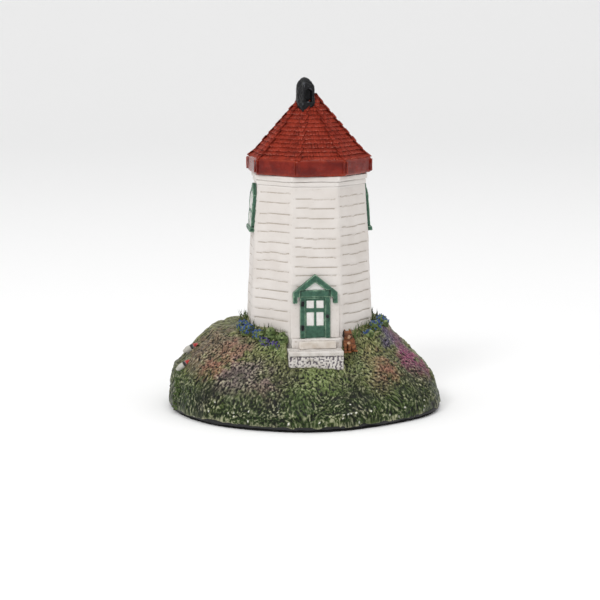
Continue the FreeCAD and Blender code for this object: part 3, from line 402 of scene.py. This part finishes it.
def planting_tree(name, material, shape):
    """Blades or dabs standing on a surface where its mask allows, leaning at random."""
    tree, given = node_tree(name, (
        ("Density", "NodeSocketFloat"), ("Width", "NodeSocketFloat"), ("Height", "NodeSocketFloat"),
        ("Lean", "NodeSocketFloat"), ("Upright", "NodeSocketFloat"), ("Seed", "NodeSocketInt")))
    size = given.outputs
    mask = add(tree, "GeometryNodeInputNamedAttribute", data_type="FLOAT")
    mask.inputs["Name"].default_value = "mask"
    thick = add(tree, "ShaderNodeMath", {
        0: mask.outputs["Attribute"], 1: size["Density"]}, operation="MULTIPLY")
    spots = add(tree, "GeometryNodeDistributePointsOnFaces", {
        "Mesh": size["Geometry"], "Density": thick.outputs[0], "Seed": size["Seed"]},
        distribute_method="RANDOM")
    if shape == "blade":
        item = add(tree, "GeometryNodeMeshCone", {
            "Vertices": 4, "Radius Top": 0.0, "Radius Bottom": 0.5, "Depth": 1.0})
        flat = (1.0, 0.45, 1.0)
    else:
        item = add(tree, "GeometryNodeMeshIcoSphere", {"Radius": 0.5, "Subdivisions": 1})
        flat = (1.0, 0.8, 1.0)
    up = add(tree, "ShaderNodeCombineXYZ", {"Z": 1.0}).outputs[0]
    raised = add(tree, "ShaderNodeMix", {
        0: size["Upright"], 4: spots.outputs["Normal"], 5: up}, data_type="VECTOR")
    stand = add(tree, "FunctionNodeAlignRotationToVector", {"Vector": raised.outputs[1]}, axis="Z")
    least = add(tree, "ShaderNodeMath", {0: size["Lean"], 1: -1.0}, operation="MULTIPLY").outputs[0]
    low = add(tree, "ShaderNodeCombineXYZ", {"X": least, "Y": least, "Z": -3.1}).outputs[0]
    high = add(tree, "ShaderNodeCombineXYZ", {"X": size["Lean"], "Y": size["Lean"], "Z": 3.1}).outputs[0]
    wobble = add(tree, "FunctionNodeRandomValue", {
        0: low, 1: high, "Seed": size["Seed"]}, data_type="FLOAT_VECTOR")
    as_rotation = add(tree, "FunctionNodeEulerToRotation", {"Euler": wobble.outputs[0]}).outputs[0]
    turn = add(tree, "FunctionNodeRotateRotation", {
        "Rotation": stand.outputs[0], "Rotate By": as_rotation}, rotation_space="LOCAL")
    full = add(tree, "ShaderNodeCombineXYZ", {
        "X": size["Width"], "Y": size["Width"], "Z": size["Height"]}).outputs[0]
    full = add(tree, "ShaderNodeVectorMath", {0: full, 1: flat}, operation="MULTIPLY").outputs[0]
    vary = add(tree, "FunctionNodeRandomValue", {
        2: 0.65, 3: 1.25, "Seed": size["Seed"]}, data_type="FLOAT").outputs[1]
    scale = add(tree, "ShaderNodeVectorMath", {0: full, "Scale": vary}, operation="SCALE").outputs[0]
    grown_on = add(tree, "GeometryNodeInstanceOnPoints", {
        "Points": spots.outputs["Points"], "Instance": item.outputs[0],
        "Rotation": turn.outputs[0], "Scale": scale})
    return close_tree(tree, grown_on.outputs[0], material)


# ---- base and mound ------------------------------------------------------------------------

def base():
    """Felt under the foot and the black painted edge."""
    felt = cast_copy("felt_pad", "felt_pad_soft", 0.6, 1)
    store_relief(felt.data, 0.05 * MM)
    finish(felt, FELT, "felt", "felt_pad")
    rim = cast_copy("base_rim", "base_rim_cast", 0.5, 2)
    roughen(rim.data, ((7.0, 0.25, 3), (2.0, 0.15, 4)))
    store_relief(rim.data, 0.06 * MM)
    finish(rim, EDGE_BLACK, "black_edge", "base_rim")


# Washes laid on the turf: centre (mm), reach (mm), colour, strength.
TURF_TINTS = (
    ((-33, -14, 23), 13, "#6E6450", 0.70),
    ((-37, -11, 23), 8, "#806858", 0.75),
    ((-27, -17, 26), 7, "#8A7468", 0.60),
    ((-35, -23, 18), 6, "#A4685A", 0.70),
    ((-30, -20, 22), 7, "#A06E5C", 0.60),
    ((-41, -14, 18), 6, "#7A6452", 0.60),
    ((-25, -32, 15), 9, "#7E6C70", 0.75),
    ((-20, -38, 12), 7, "#856A68", 0.65),
    ((-32, -31, 13), 7, "#6A5A5C", 0.60),
    ((-46, -16, 6), 10, "#38501F", 0.70),
    ((23, -27, 17), 7, "#A86A5C", 0.75),
    ((21, -34, 12), 6, "#886454", 0.60),
    ((30, -7, 23), 7, "#7A3C66", 0.90),
    ((34, -13, 19), 6, "#943A6C", 0.95),
    ((39, -14, 15), 5, "#8C3A60", 0.85),
    ((31, -18, 17), 5, "#8E3864", 0.80),
    ((36, -18, 15), 5, "#84405E", 0.70),
    ((25, -13, 25), 5, "#56487A", 0.70),
    ((37, -26, 9), 9, "#3E4424", 0.70),
    ((-5, -48, 4), 14, "#3C5420", 0.80),
    ((26, -37, 6), 12, "#415A22", 0.75),
    ((-28, -42, 4), 12, "#38501F", 0.80),
    ((0, -36, 16), 8, "#75874C", 0.65),
    ((-14, -23, 25), 6, "#6E8448", 0.60),
    ((16, -27, 18), 6, "#748450", 0.60),
)


def stair_shadow(p):
    """1 on the planted ground, 0 inside the tower's socket and the stair's notch (mm)."""
    across = np.max(np.abs(np.stack([p[:, 0] * math.cos(a) + p[:, 1] * math.sin(a)
                                     for a in np.radians([0, 45, 90, 135])])), axis=0)
    clear = smoothstep(21.0, 22.4, across)
    step_low, step_high = (np.array(v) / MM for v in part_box("lower_step"))
    side = np.maximum(step_low[0] - p[:, 0], p[:, 0] - step_high[0])
    ahead = step_low[1] - p[:, 1]
    return clear * smoothstep(0.1, 0.9, np.maximum(side, ahead))


def turf(co):
    """Relief (mm) of the modelled grass: lumps, and strands combed downhill (points in mm)."""
    reach = np.hypot(co[:, 0], co[:, 1])
    fan = co[:, :2] / reach[:, None] * 34.0
    fall = reach - 1.2 * co[:, 2]
    sway = noise3(co, 7.0, 11) * 2.4
    flow = np.column_stack([fan[:, 0] + 0.5 * sway, fan[:, 1] + 0.5 * sway, fall * 0.42 + sway])
    ridge = noise3(flow, 0.5, 21)
    fine = noise3(co, 0.8, 23)
    calm = smoothstep(-0.5, 0.5, noise3(co, 5.0, 24) + 0.05 * (14 - co[:, 2]))
    second = 1 - 2 * np.abs(noise3(flow + 40, 0.9, 22))
    lumps = 0.60 * noise3(co, 6.5, 31) + 0.35 * noise3(co, 3.0, 32)
    tufts = np.maximum(noise3(co, 1.7, 33), -0.4)
    strands = 0.34 * ridge + 0.14 * second
    return lumps + (0.35 + 0.65 * calm) * strands + 0.16 * fine + 0.22 * tufts, flow


def ground_tint(p):
    """Base colour of the turf at each point, from dark to light green with the washes over it."""
    dark, mid, pale = (np.array(linear(c)) for c in ("#1C290B", "#4E5E26", "#969660"))
    lift = smoothstep(-0.5, 0.6, noise3(p, 9.0, 41) + 0.5 * noise3(p, 3.5, 42))[:, None]
    colour = dark * (1 - lift) + mid * lift
    high = (smoothstep(8, 26, p[:, 2]) * 0.55)[:, None]
    colour = colour * (1 - high) + pale * high
    ragged = noise3(p, 4.0, 43) * 0.6 + noise3(p, 1.5, 44) * 0.5
    for centre, reach, code, strength in TURF_TINTS:
        away = np.linalg.norm(p - np.array(centre), axis=1) / reach
        share = (smoothstep(1.35, 0.3, away + ragged) * strength)[:, None]
        colour = colour * (1 - share) + np.array(linear(code)) * share
    # Darker and greener towards the foot of the mound.
    low_darkening = smoothstep(15.0, 6.0, p[:, 2] + 3 * noise3(p, 6.0, 46))[:, None]
    colour = colour * (1 - 0.45 * low_darkening * np.array([1.0, 0.85, 1.3, 0.0]))
    front_foot = smoothstep(9.0, 5.0, p[:, 2]) * smoothstep(-20, -36, p[:, 1])
    speck = (np.random.default_rng(45).random(len(p)) < 0.012 * front_foot)[:, None]
    colour = np.where(speck, np.array(linear("#E8E6DC")) * 1.4, colour)
    colour[:, 3] = 1.0
    return colour


def turf_paint():
    """Matt greens over the grass relief: near-black in the gaps, pale yellow-green dry-brushed
    on the tips, a thin gloss coat all over."""
    return paint("turf_acrylic_dry_brushed", None, "#77776C", "#0B0E05", "#DCD8B4", 0.45,
                 coat=0.05, patch=1.8, grain=0.55, depth=0.35, tint="ground", strands="combed", specular=0.2,
                 bite=2.4, detail=5.0, wash_at=(0.56, 0.26), tips_at=(0.60, 1.0), tips_share=1.0)


def mound():
    """The planted hill, with its turf relief."""
    hill = cast_copy("mound", "mound_turf", 0.50, 3)
    mesh = hill.data
    co = coordinates(mesh)
    p = co / MM
    low = p[:, 2].min()
    open_ground = stair_shadow(p) * smoothstep(low + 0.2, low + 2.0, p[:, 2])
    height, flow = turf(p)
    moved = co + normals(mesh) * (height * open_ground)[:, None] * MM
    hem = smoothstep(low + 1.2, low + 0.2, p[:, 2]) * smoothstep(38, 42, np.hypot(p[:, 0], p[:, 1]))
    moved[:, 2] -= hem * (0.85 + 0.55 * noise3(p, 2.6, 34)) * MM
    set_coordinates(mesh, moved)
    store_relief(mesh, 0.20 * MM, 4)
    store(mesh, "combed", flow * MM)
    store(mesh, "ground", ground_tint(p))
    shade_smooth(mesh)
    return finish(hill, turf_paint(), "painted_grass", "mound")


# ---- tower ---------------------------------------------------------------------------------

# Heights (mm) of the wall's foot in its socket, the first board, the belly and the top.
WALL_HEIGHTS = (22.0, 25.4, 61.2, 78.0)
WALL_RADII = (22.85, 22.85, 21.2, 19.85)
BOARDS = 16
# Seats cut in the boards (mm): half width of the door's, its middle and the height where it
# narrows under the hood, then half width and foot of the windows'.
DOOR_SEAT, DOOR_MIDDLE, HOOD_FOOT, HOOD_SLOPE = 7.2, -0.4, 42.0, 1.16
WINDOW_SEAT, WINDOW_FOOT = 5.9, 61.4


def wall_radius(z):
    """Corner radius of the tower (mm) at a height (mm)."""
    return np.interp(z, WALL_HEIGHTS, WALL_RADII)


def board_lines(face):
    """Heights (mm) of the carved board edges on one side; each side was cut by hand."""
    random = np.random.default_rng(70 + face)
    _, first, _, top = WALL_HEIGHTS
    lines = first + (top - first) / BOARDS * np.arange(BOARDS + 1)
    return lines + random.uniform(-0.35, 0.35, BOARDS + 1) + random.uniform(-0.7, 0.7)


def carved(face, along, z):
    """Relief (mm) of the clapboards on one side: each board's foot stands proud over a cut."""
    lines = board_lines(face)
    wave = 0.42 * noise3(np.column_stack([along, z * 0.3, np.full_like(z, face * 9.0)]), 6.0, 51)
    wave += 0.12 * noise3(np.column_stack([along, z * 0.3, np.full_like(z, face * 5.0)]), 1.8, 52)
    level = z + wave
    index = np.clip(np.searchsorted(lines, level) - 1, 0, len(lines) - 2)
    above = level - lines[index]
    below = lines[index + 1] - level
    pitch = lines[index + 1] - lines[index]
    wedge = 0.22 * (1 - above / pitch) * smoothstep(0.0, 0.25, above)
    cut = -0.16 * np.exp(-(np.minimum(above, below) / 0.22) ** 2)
    key = np.column_stack([along * 0.12, index * 3.1, np.full_like(z, face * 7.0)])
    firm = 0.45 + 0.55 * smoothstep(-0.45, 0.35, noise3(key, 1.0, 53))
    return wedge + cut * firm


def tower():
    """Eight-sided clapboard wall, cut to seats behind the door and the windows."""
    columns, rows = 416, 168
    angle = np.linspace(-math.pi, math.pi, columns, endpoint=False)
    z = np.linspace(WALL_HEIGHTS[0], WALL_HEIGHTS[-1], rows)
    theta, level = (a.ravel() for a in np.meshgrid(angle, z))
    face = np.round(theta / ONE_SIDE).astype(int)
    off = theta - face * ONE_SIDE
    side = np.mod(face, 8)
    apothem = wall_radius(level) * CORNER
    along = apothem * np.tan(off)
    half = apothem * math.tan(HALF_SIDE)
    relief = np.zeros_like(level)
    for number in range(8):
        own = side == number
        relief[own] = carved(number, along[own], level[own])
    ragged = 0.5 * noise3(np.column_stack([side * 5.0, along * 0.2, level]), 1.2, 56)
    board = smoothstep(1.6, 0.9, half - np.abs(along) + ragged)
    relief = relief * (1 - 0.7 * board) + 0.10 * board
    corner = smoothstep(0.9, 0.0, half - np.abs(along))
    flat = np.column_stack([np.cos(theta) * 21, np.sin(theta) * 21, level])
    relief += 0.10 * noise3(flat, 4.5, 54) + 0.04 * noise3(flat, 1.3, 55) - 0.14 * corner
    reach = DOOR_SEAT - HOOD_SLOPE * np.maximum(level - HOOD_FOOT, 0)
    door = (side == 6) & (np.abs(along - DOOR_MIDDLE) < reach)
    window = np.isin(side, (0, 4)) & (np.abs(along) < WINDOW_SEAT) & (level > WINDOW_FOOT)
    relief[door | window] = np.minimum(relief[door | window], -0.12)
    radius = (apothem + relief) / np.cos(off)
    co = np.column_stack([radius * np.cos(theta), radius * np.sin(theta), level])
    co = np.vstack([co, [[0, 0, z[0]], [0, 0, z[-1]]]]) * MM
    faces = []
    for r in range(rows - 1):
        for c in range(columns):
            d = (c + 1) % columns
            low, high = r * columns, (r + 1) * columns
            faces.append((low + c, low + d, high + d, high + c))
    last = (rows - 1) * columns
    for c in range(columns):
        d = (c + 1) % columns
        faces.append((len(co) - 2, d, c))
        faces.append((len(co) - 1, last + c, last + d))
    mesh = bpy.data.meshes.new("tower_clapboards")
    mesh.from_pydata(co.tolist(), [], faces)
    shade_smooth(mesh)
    wall = new_object("tower_clapboards", mesh)
    store_relief(mesh, 0.17 * MM, 3)
    return finish(wall, WALL_PAINT, "white_paint", "tower_body", "corner_boards")


def cornice():
    """Two plain mouldings under the red band."""
    for node, seed in (("bed_moulding", 61), ("tower_cornice", 64)):
        ring = cast_copy(node, node + "_cast", 0.3, 3)
        roughen(ring.data, ((5.0, 0.12, seed), (1.6, 0.06, seed + 1)))
        store_relief(ring.data, 0.08 * MM)
        finish(ring, WALL_PAINT, "white_paint", node)


# ---- roof ----------------------------------------------------------------------------------

def fascia():
    """Varnished band with slightly dragged edges, and the raised strips at its corners."""
    ring = cast_copy("roof_fascia", "roof_fascia_cast", 0.3, 14)
    roughen(ring.data, ((6.0, 0.16, 71), (2.2, 0.08, 72)))
    store_relief(ring.data, 0.10 * MM, 8)
    # The orange on the band's and strips' edges is a painted highlight, not a thin coat.
    finish(ring, GLOSS_RED_PAINTED_GLINT, "gloss_red", "roof_fascia")
    strips = cast_copy("fascia_straps", "fascia_straps_cast", 0.11, 1)
    co = coordinates(strips.data)
    outward = co * np.array([1.0, 1.0, 0.0]) / np.linalg.norm(co[:, :2], axis=1)[:, None]
    set_coordinates(strips.data, co + outward * 0.10 * MM)
    roughen(strips.data, ((1.4, 0.07, 73),))
    store_relief(strips.data, 0.04 * MM)
    finish(strips, GLOSS_RED_PAINTED_GLINT, "gloss_red", "fascia_straps")


def roof_corner(radius, k):
    """Plan position of the roof's corner number k."""
    a = ROOF_TURN + math.radians(22.5 + 45 * k)
    return radius * math.cos(a), radius * math.sin(a)


# The roof's slope: height over the eave and corner radius (mm), with a kick at the eave.
ROOF_FLANK = ((0.0, 20.9), (2.3, 18.2), (22.7, 0.35))
SHINGLE_ROWS = 16
FIRST_COURSE, LAST_COURSE = 0.5, 21.7


def roof():
    """Plain eight-sided core with rows of shingles laid over it."""
    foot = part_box("roof_shell")[0][2] / MM
    rings = [(height + foot - (0.2 if not height else 0.0), radius - 0.15)
             for height, radius in ROOF_FLANK]
    verts = [(*roof_corner(radius, k), z) for z, radius in rings for k in range(8)]
    faces = [tuple(range(7, -1, -1)), tuple(range(len(verts) - 8, len(verts)))]
    for ring in range(len(rings) - 1):
        for k in range(8):
            a, b = ring * 8 + k, ring * 8 + (k + 1) % 8
            faces.append((a, b, b + 8, a + 8))
    mesh = bpy.data.meshes.new("roof_core")
    mesh.from_pydata((np.array(verts) * MM).tolist(), [], faces)
    core = new_object("roof_core_raw", mesh)
    remesh = core.modifiers.new("remesh", "REMESH")
    remesh.mode = "VOXEL"
    remesh.voxel_size = 0.45 * MM
    core = settled(core, "roof_core")
    roughen(core.data, ((2.2, 0.10, 81), (0.9, 0.08, 82)))
    store_relief(core.data, 0.1 * MM)
    shade_smooth(core.data)
    finish(core, ROOF_PAINT, "roof_red", "roof_shell")
    finish(shingles(foot), ROOF_PAINT, "roof_red")


def shingles(foot):
    """Course lines up the eight slopes, each carrying its row of wedges."""
    verts, edges, outward = [], [], []
    random = np.random.default_rng(83)
    heights = [h for h, _ in ROOF_FLANK]
    radii = [r for _, r in ROOF_FLANK]
    for row in range(SHINGLE_ROWS):
        height = FIRST_COURSE + (LAST_COURSE - FIRST_COURSE) * row / SHINGLE_ROWS
        slip = 0.3 + 0.6 * (row % 2) + random.uniform(-0.12, 0.12)
        radius = np.interp(height, heights, radii)
        slope = math.atan2(0.85 if height > heights[1] else 1.15, 1.0)
        for k in range(8):
            middle = ROOF_TURN + math.radians(45 * (k + 1))
            flat = math.cos(slope)
            normal = (math.cos(middle) * flat, math.sin(middle) * flat, math.sin(slope))
            start, end = (np.array(roof_corner(radius, corner)) for corner in (k, k + 1))
            side = (end - start) / max(np.linalg.norm(end - start), 0.01)
            for x, y in (start - side * slip, end + side * (1.1 - slip)):
                verts.append((x * MM, y * MM, (height + foot) * MM))
                outward.append(normal)
            edges.append((len(verts) - 2, len(verts) - 1))
    mesh = bpy.data.meshes.new("course_lines")
    mesh.from_pydata(verts, edges, [])
    store(mesh, "outward", np.array(outward))
    return grown("roof_shingles", mesh, shingle_tree(), {
        "Width": 1.0 * MM, "Length": 2.3 * MM, "Thickness": 0.26 * MM, "Tilt": -0.12, "Seed": 5})


def vent():
    """Black hood over the roof's point."""
    hood = cast_copy("roof_vent", "roof_vent_cast", 0.16, 3)
    roughen(hood.data, ((2.2, 0.20, 91), (1.0, 0.18, 92), (0.5, 0.08, 93)))
    store_relief(hood.data, 0.14 * MM)
    finish(hood, BLACK_PAINT, "black_paint", "roof_vent")


# ---- windows and door ----------------------------------------------------------------------

def joinery():
    """Frames, leaf, hood and panes: small pieces with brush-softened edges."""
    pieces = (
        ("left_window_frame", 0.16, GREEN_PAINT, "green_paint", 0.08),
        ("right_window_frame", 0.16, GREEN_PAINT, "green_paint", 0.08),
        ("left_window_panes", 0.2, PANE_PAINT, "pane_white", 0.05),
        ("right_window_panes", 0.2, PANE_PAINT, "pane_white", 0.05),
        ("door_frame", 0.13, GREEN_PAINT, "green_paint", 0.07),
        ("door_leaf", 0.12, GREEN_PAINT, "green_paint", 0.05),
        ("door_panes", 0.1, PANE_PAINT, "pane_white", 0.03),
        ("door_hood", 0.15, GREEN_PAINT, "green_paint", 0.09),
        ("hood_panel", 0.12, PANE_PAINT, "pane_white", 0.05),
        ("door_casing", 0.15, WALL_PAINT, "white_paint", 0.06),
        ("door_hinges", 0.08, BLACK_PAINT, "black_paint", 0.06),
        ("door_knob", 0.08, BLACK_PAINT, "black_paint", 0.04),
    )
    for seed, (node, voxel, colour, slot, rough) in enumerate(pieces, start=100):
        piece = cast_copy(node, node + "_cast", voxel, 1 if voxel < 0.1 else 2)
        if "window_panes" in node:
            outward = 0.28 * MM * (1 if "right" in node else -1)
            set_coordinates(piece.data, coordinates(piece.data) + np.array([outward, 0, 0]))
        roughen(piece.data, ((1.8, rough, seed), (0.7, rough * 0.5, seed + 30)))
        store_relief(piece.data, 0.05 * MM)
        finish(piece, colour, slot, node)


def steps():
    """Landing and two steps; the lower riser is pitted like cast stone."""
    for node, seed in (("door_landing", 131), ("upper_step", 134)):
        block = cast_copy(node, node + "_cast", 0.22, 3)
        roughen(block.data, ((2.6, 0.16, seed), (0.9, 0.08, seed + 1)))
        store_relief(block.data, 0.07 * MM)
        finish(block, TREAD_PAINT if node == "upper_step" else WALL_PAINT, "stone_paint", node)
    block = cast_copy("lower_step", "lower_step_cast", 0.2, 3)
    co = coordinates(block.data)
    p = co / MM
    top = p[:, 2].max()
    riser = smoothstep(top - 1.4, top - 2.0, p[:, 2])
    pits = np.minimum(noise3(p * np.array([1.0, 1.0, 0.6]), 0.8, 141), 0.0) + 0.25 * noise3(p, 0.5, 142)
    push = 0.12 * noise3(p, 2.4, 143) + 0.55 * riser * pits
    set_coordinates(block.data, co + normals(block.data) * push[:, None] * MM)
    store_relief(block.data, 0.10 * MM)
    finish(block, STONE_PAINT, "stone_paint", "lower_step")


# ---- cat and floats ------------------------------------------------------------------------

def cat():
    """Seated ginger cat: stripes, pale muzzle and chest, dark ears and eyes, and a painted black shadow down
    its left side.
    """
    animal = cast_copy("cat", "cat_cast", 0.13, 4)
    mesh = animal.data
    co = coordinates(mesh)
    low, high = (np.array(v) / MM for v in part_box("cat"))
    p = co / MM
    q = (p - np.array([(low[0] + high[0]) / 2, low[1], low[2]])) / (high[2] - low[2])
    fur = noise3(p * np.array([1.0, 1.0, 0.35]), 0.35, 151)
    set_coordinates(mesh, co + normals(mesh) * (0.07 * fur)[:, None] * MM)
    store_relief(mesh, 0.05 * MM)
    ginger, brown, cream, black = (
        np.array(linear(c)) for c in ("#84502E", "#4A2A18", "#D6B594", "#140C08"))
    stripe = smoothstep(0.1, 0.5, noise3(p * np.array([0.5, 0.5, 2.2]), 1.0, 152))[:, None]
    colour = ginger * (1 - 0.75 * stripe) + brown * 0.75 * stripe
    head = -0.06
    dark = brown * 0.5
    # Muzzle, chest, eyes, nose and ears: place and reach as shares of the cat's height.
    for x, y, z, reach, tone in (
            (head, 0.10, 0.68, 0.10, cream), (head, 0.18, 0.42, 0.10, cream),
            (head - 0.08, 0.15, 0.775, 0.055, black), (head + 0.08, 0.15, 0.775, 0.055, black),
            (head, 0.06, 0.715, 0.030, black),
            (head - 0.125, 0.20, 0.95, 0.055, dark), (head + 0.115, 0.20, 0.95, 0.055, dark)):
        away = np.linalg.norm((q - np.array([x, y, z])) * np.array([1, 0.8, 1]), axis=1)
        share = smoothstep(reach, reach * 0.6, away)[:, None]
        colour = colour * (1 - share) + tone * share
    # Painted shadow: the cat's left side goes black, standing in for the shade between the cat and the
    # steps.
    painted_shadow_side = smoothstep(-0.25, -0.30, q[:, 0] - 0.05 * q[:, 2])[:, None]
    colour = colour * (1 - painted_shadow_side) + black * painted_shadow_side
    colour[:, 3] = 1.0
    store(mesh, "coat", colour)
    finish(animal, CAT_PAINT, "ginger_paint", "cat")


def floats():
    """Two net floats: white spindle, black band, red end towards the tower."""
    white, black, red = (np.array(linear(c)) for c in ("#B8B6AE", "#161515", "#A82420"))
    for node, seed in (("upper_buoy", 161), ("lower_buoy", 164)):
        spindle = cast_copy(node, node + "_cast", 0.12, 2)
        mesh = spindle.data
        roughen(mesh, ((1.2, 0.06, seed),))
        store_relief(mesh, 0.05 * MM)
        co = coordinates(mesh)
        centre = co.mean(axis=0)
        axis = np.linalg.svd(co - centre, full_matrices=False)[2][0]
        axis = axis if axis[0] > 0 else -axis
        reach = (co - centre) @ axis
        t = (reach - reach.min()) / (reach.max() - reach.min())
        t = t + 0.02 * noise3(co / MM, 0.8, seed + 1)
        band = (smoothstep(0.52, 0.56, t) * smoothstep(0.74, 0.71, t))[:, None]
        end = smoothstep(0.72, 0.75, t)[:, None]
        colour = white * (1 - band) + black * band
        colour = colour * (1 - end) + red * end
        colour[:, 3] = 1.0
        store(mesh, "bands", colour)
        finish(spindle, BUOY_PAINT, "buoy_paint", node)


# ---- plants --------------------------------------------------------------------------------

def masked_ground(hill, spots):
    """Copy of the turf whose mask is 1 near the given spots: (x, y, reach) in mm."""
    mesh = hill.data.copy()
    p = coordinates(mesh) / MM
    inside = np.zeros(len(p))
    for x, y, reach in spots:
        away = np.hypot(p[:, 0] - x, p[:, 1] - y) / reach
        inside = np.maximum(inside, smoothstep(1.0, 0.5, away + 0.25 * noise3(p, 2.0, 171)))
    store(mesh, "mask", inside * smoothstep(0.0, 0.3, stair_shadow(p)))
    return mesh


def clump(node, material, slot, seed, voxel=0.22, rough=1.0):
    """Leafy body of a clump."""
    leafy = cast_copy(node, node + "_leaves", voxel, 1 if voxel < 0.2 else 2)
    roughen(leafy.data, ((1.5, 0.35 * rough, seed), (0.7, 0.25 * rough, seed + 1)))
    store_relief(leafy.data, 0.12 * MM)
    finish(leafy, material, slot, node)
    return leafy


def scatter(name, ground, tree, slot, material, values):
    """Plants grown over a masked surface, each tinted a little differently by noise."""
    grown_on = grown(name, ground, tree, values)
    mesh = grown_on.data
    store(mesh, "relief", np.clip(0.5 + 0.3 * noise3(coordinates(mesh) / MM, 0.6, 181), 0, 1))
    return finish(grown_on, material, slot)


# Leafy tufts away from the tower: x, y, reach (mm).
SLOPE_LEAVES = ((-46.8, -11.5, 3.0), (-45.5, -7.0, 2.0), (-13.5, -20.5, 3.0), (-17.0, -18.5, 2.6),
                (-21.0, -12.0, 2.8), (21.5, -14.0, 2.6), (23.5, -8.0, 2.4))


def plants(hill):
    """Clumps of flowers and shrubs round the tower's foot, grass beside the cat."""
    blade = planting_tree("grass_blades", LEAF_PAINT, "blade")
    blue = planting_tree("blue_dabs", BLUE_PAINT, "dab")
    purple = planting_tree("purple_dabs", PURPLE_PAINT, "dab")
    for number, (node, dabs, material, slot) in enumerate((
            ("blue_flowers_left", blue, BLUE_PAINT, "flower_blue"),
            ("blue_flowers_right", blue, BLUE_PAINT, "flower_blue"),
            ("purple_flowers_left", purple, PURPLE_PAINT, "flower_purple"))):
        leafy = clump(node, LEAF_PAINT, "leaf_green", 190 + number)
        mesh = leafy.data.copy()
        facing = normals(mesh)
        store(mesh, "mask", smoothstep(0.0, 0.5, facing[:, 2] - 0.2 * facing[:, 1]))
        scatter(node + "_blossoms", mesh, dabs, slot, material, {
            "Density": 2.2e6, "Width": 0.55 * MM, "Height": 1.1 * MM, "Lean": 0.6, "Upright": 0.45,
            "Seed": 7 + number})
    clump("door_shrubs", LEAF_PAINT, "leaf_green", 195)
    clump("grass_blades", LEAF_PAINT, "leaf_green", 197, 0.1, 0.2)
    leaf = planting_tree("leaf_dabs", LEAF_PAINT, "dab")
    scatter("slope_leaves", masked_ground(hill, SLOPE_LEAVES), leaf, "leaf_green", LEAF_PAINT, {
        "Density": 1.1e6, "Width": 0.8 * MM, "Height": 1.7 * MM, "Lean": 0.7, "Upright": 0.4,
        "Seed": 12})
    foot = 22.5
    ring = [(foot * math.cos(math.radians(a)), foot * math.sin(math.radians(a)), 2.6)
            for a in range(0, 360, 9) if not 250 < a < 292]
    scatter("wall_grass", masked_ground(hill, ring), blade, "leaf_green", LEAF_PAINT, {
        "Density": 0.55e6, "Width": 0.45 * MM, "Height": 2.6 * MM, "Lean": 0.35, "Upright": 0.8,
        "Seed": 3})


# ---- stage, light and camera ---------------------------------------------------------------

def sweep():
    """Pale studio floor, curving up behind."""
    mesh = bpy.data.meshes.new("studio_floor")
    span, back, bend = 4.0, 1.2, 0.8
    profile = [(-span, 0.0), (back, 0.0)]
    profile += [(back + bend * math.sin(a), bend - bend * math.cos(a))
                for a in np.radians(range(10, 91, 10))]
    profile.append((back + bend, span))
    verts = [(x, y, z) for y, z in profile for x in (-span, span)]
    mesh.from_pydata(verts, [], [(i, i + 1, i + 3, i + 2) for i in range(0, len(verts) - 2, 2)])
    shade_smooth(mesh)
    floor = new_object("studio_floor", mesh)
    mat = bpy.data.materials.new("pale_studio_paper")
    mat.use_nodes = True
    mat.node_tree.nodes.clear()
    tree = mat.node_tree
    shader = add(tree, "ShaderNodeBsdfPrincipled", {"Base Color": "#FAFAFA", "Roughness": 0.9})
    add(tree, "ShaderNodeOutputMaterial", {"Surface": shader.outputs["BSDF"]})
    mesh.materials.append(mat)


def lamp(name, place, aim, size, power):
    """Round soft light: metres and watts."""
    data = bpy.data.lights.new(name, "AREA")
    data.shape = "DISK"
    data.size = size
    data.energy = power
    light = bpy.data.objects.new(name, data)
    SCENE.collection.objects.link(light)
    light.location = place
    light.rotation_euler = (Vector(aim) - Vector(place)).to_track_quat("-Z", "Y").to_euler()


def studio():
    """White air all round, a key light from the front left and a soft top light."""
    world = bpy.data.worlds.new("studio_air")
    SCENE.world = world
    world.use_nodes = True
    world.node_tree.nodes.clear()
    sky = add(world.node_tree, "ShaderNodeBackground", {
        "Color": (1.0, 1.0, 1.0, 1.0), "Strength": 0.82})
    add(world.node_tree, "ShaderNodeOutputWorld", {"Surface": sky.outputs[0]})
    lamp("key", (-0.50, -0.70, 0.75), (0, 0, 0.05), 0.30, 3.2)
    lamp("top", (0.10, -0.05, 0.95), (0, 0, 0.05), 0.45, 1.4)


def camera():
    """Long lens in front of the door, a little above it and to its left."""
    away, height, aim = 0.660, 0.143, 0.0365
    turn = Matrix.Rotation(math.radians(-6.5), 4, "Z")
    pitch = math.atan2(height - aim, away)
    data = bpy.data.cameras.new("camera")
    data.sensor_width = 36.0
    data.lens = 114.84
    view = bpy.data.objects.new("camera", data)
    SCENE.collection.objects.link(view)
    place = Matrix.Translation((-0.0031, -away, height))
    view.matrix_world = turn @ place @ Matrix.Rotation(math.radians(90) - pitch, 4, "X")
    SCENE.camera = view
    SCENE.view_settings.view_transform = "Standard"


base()
planted = mound()
tower()
cornice()
fascia()
roof()
vent()
joinery()
steps()
cat()
floats()
plants(planted)
sweep()
studio()
camera()
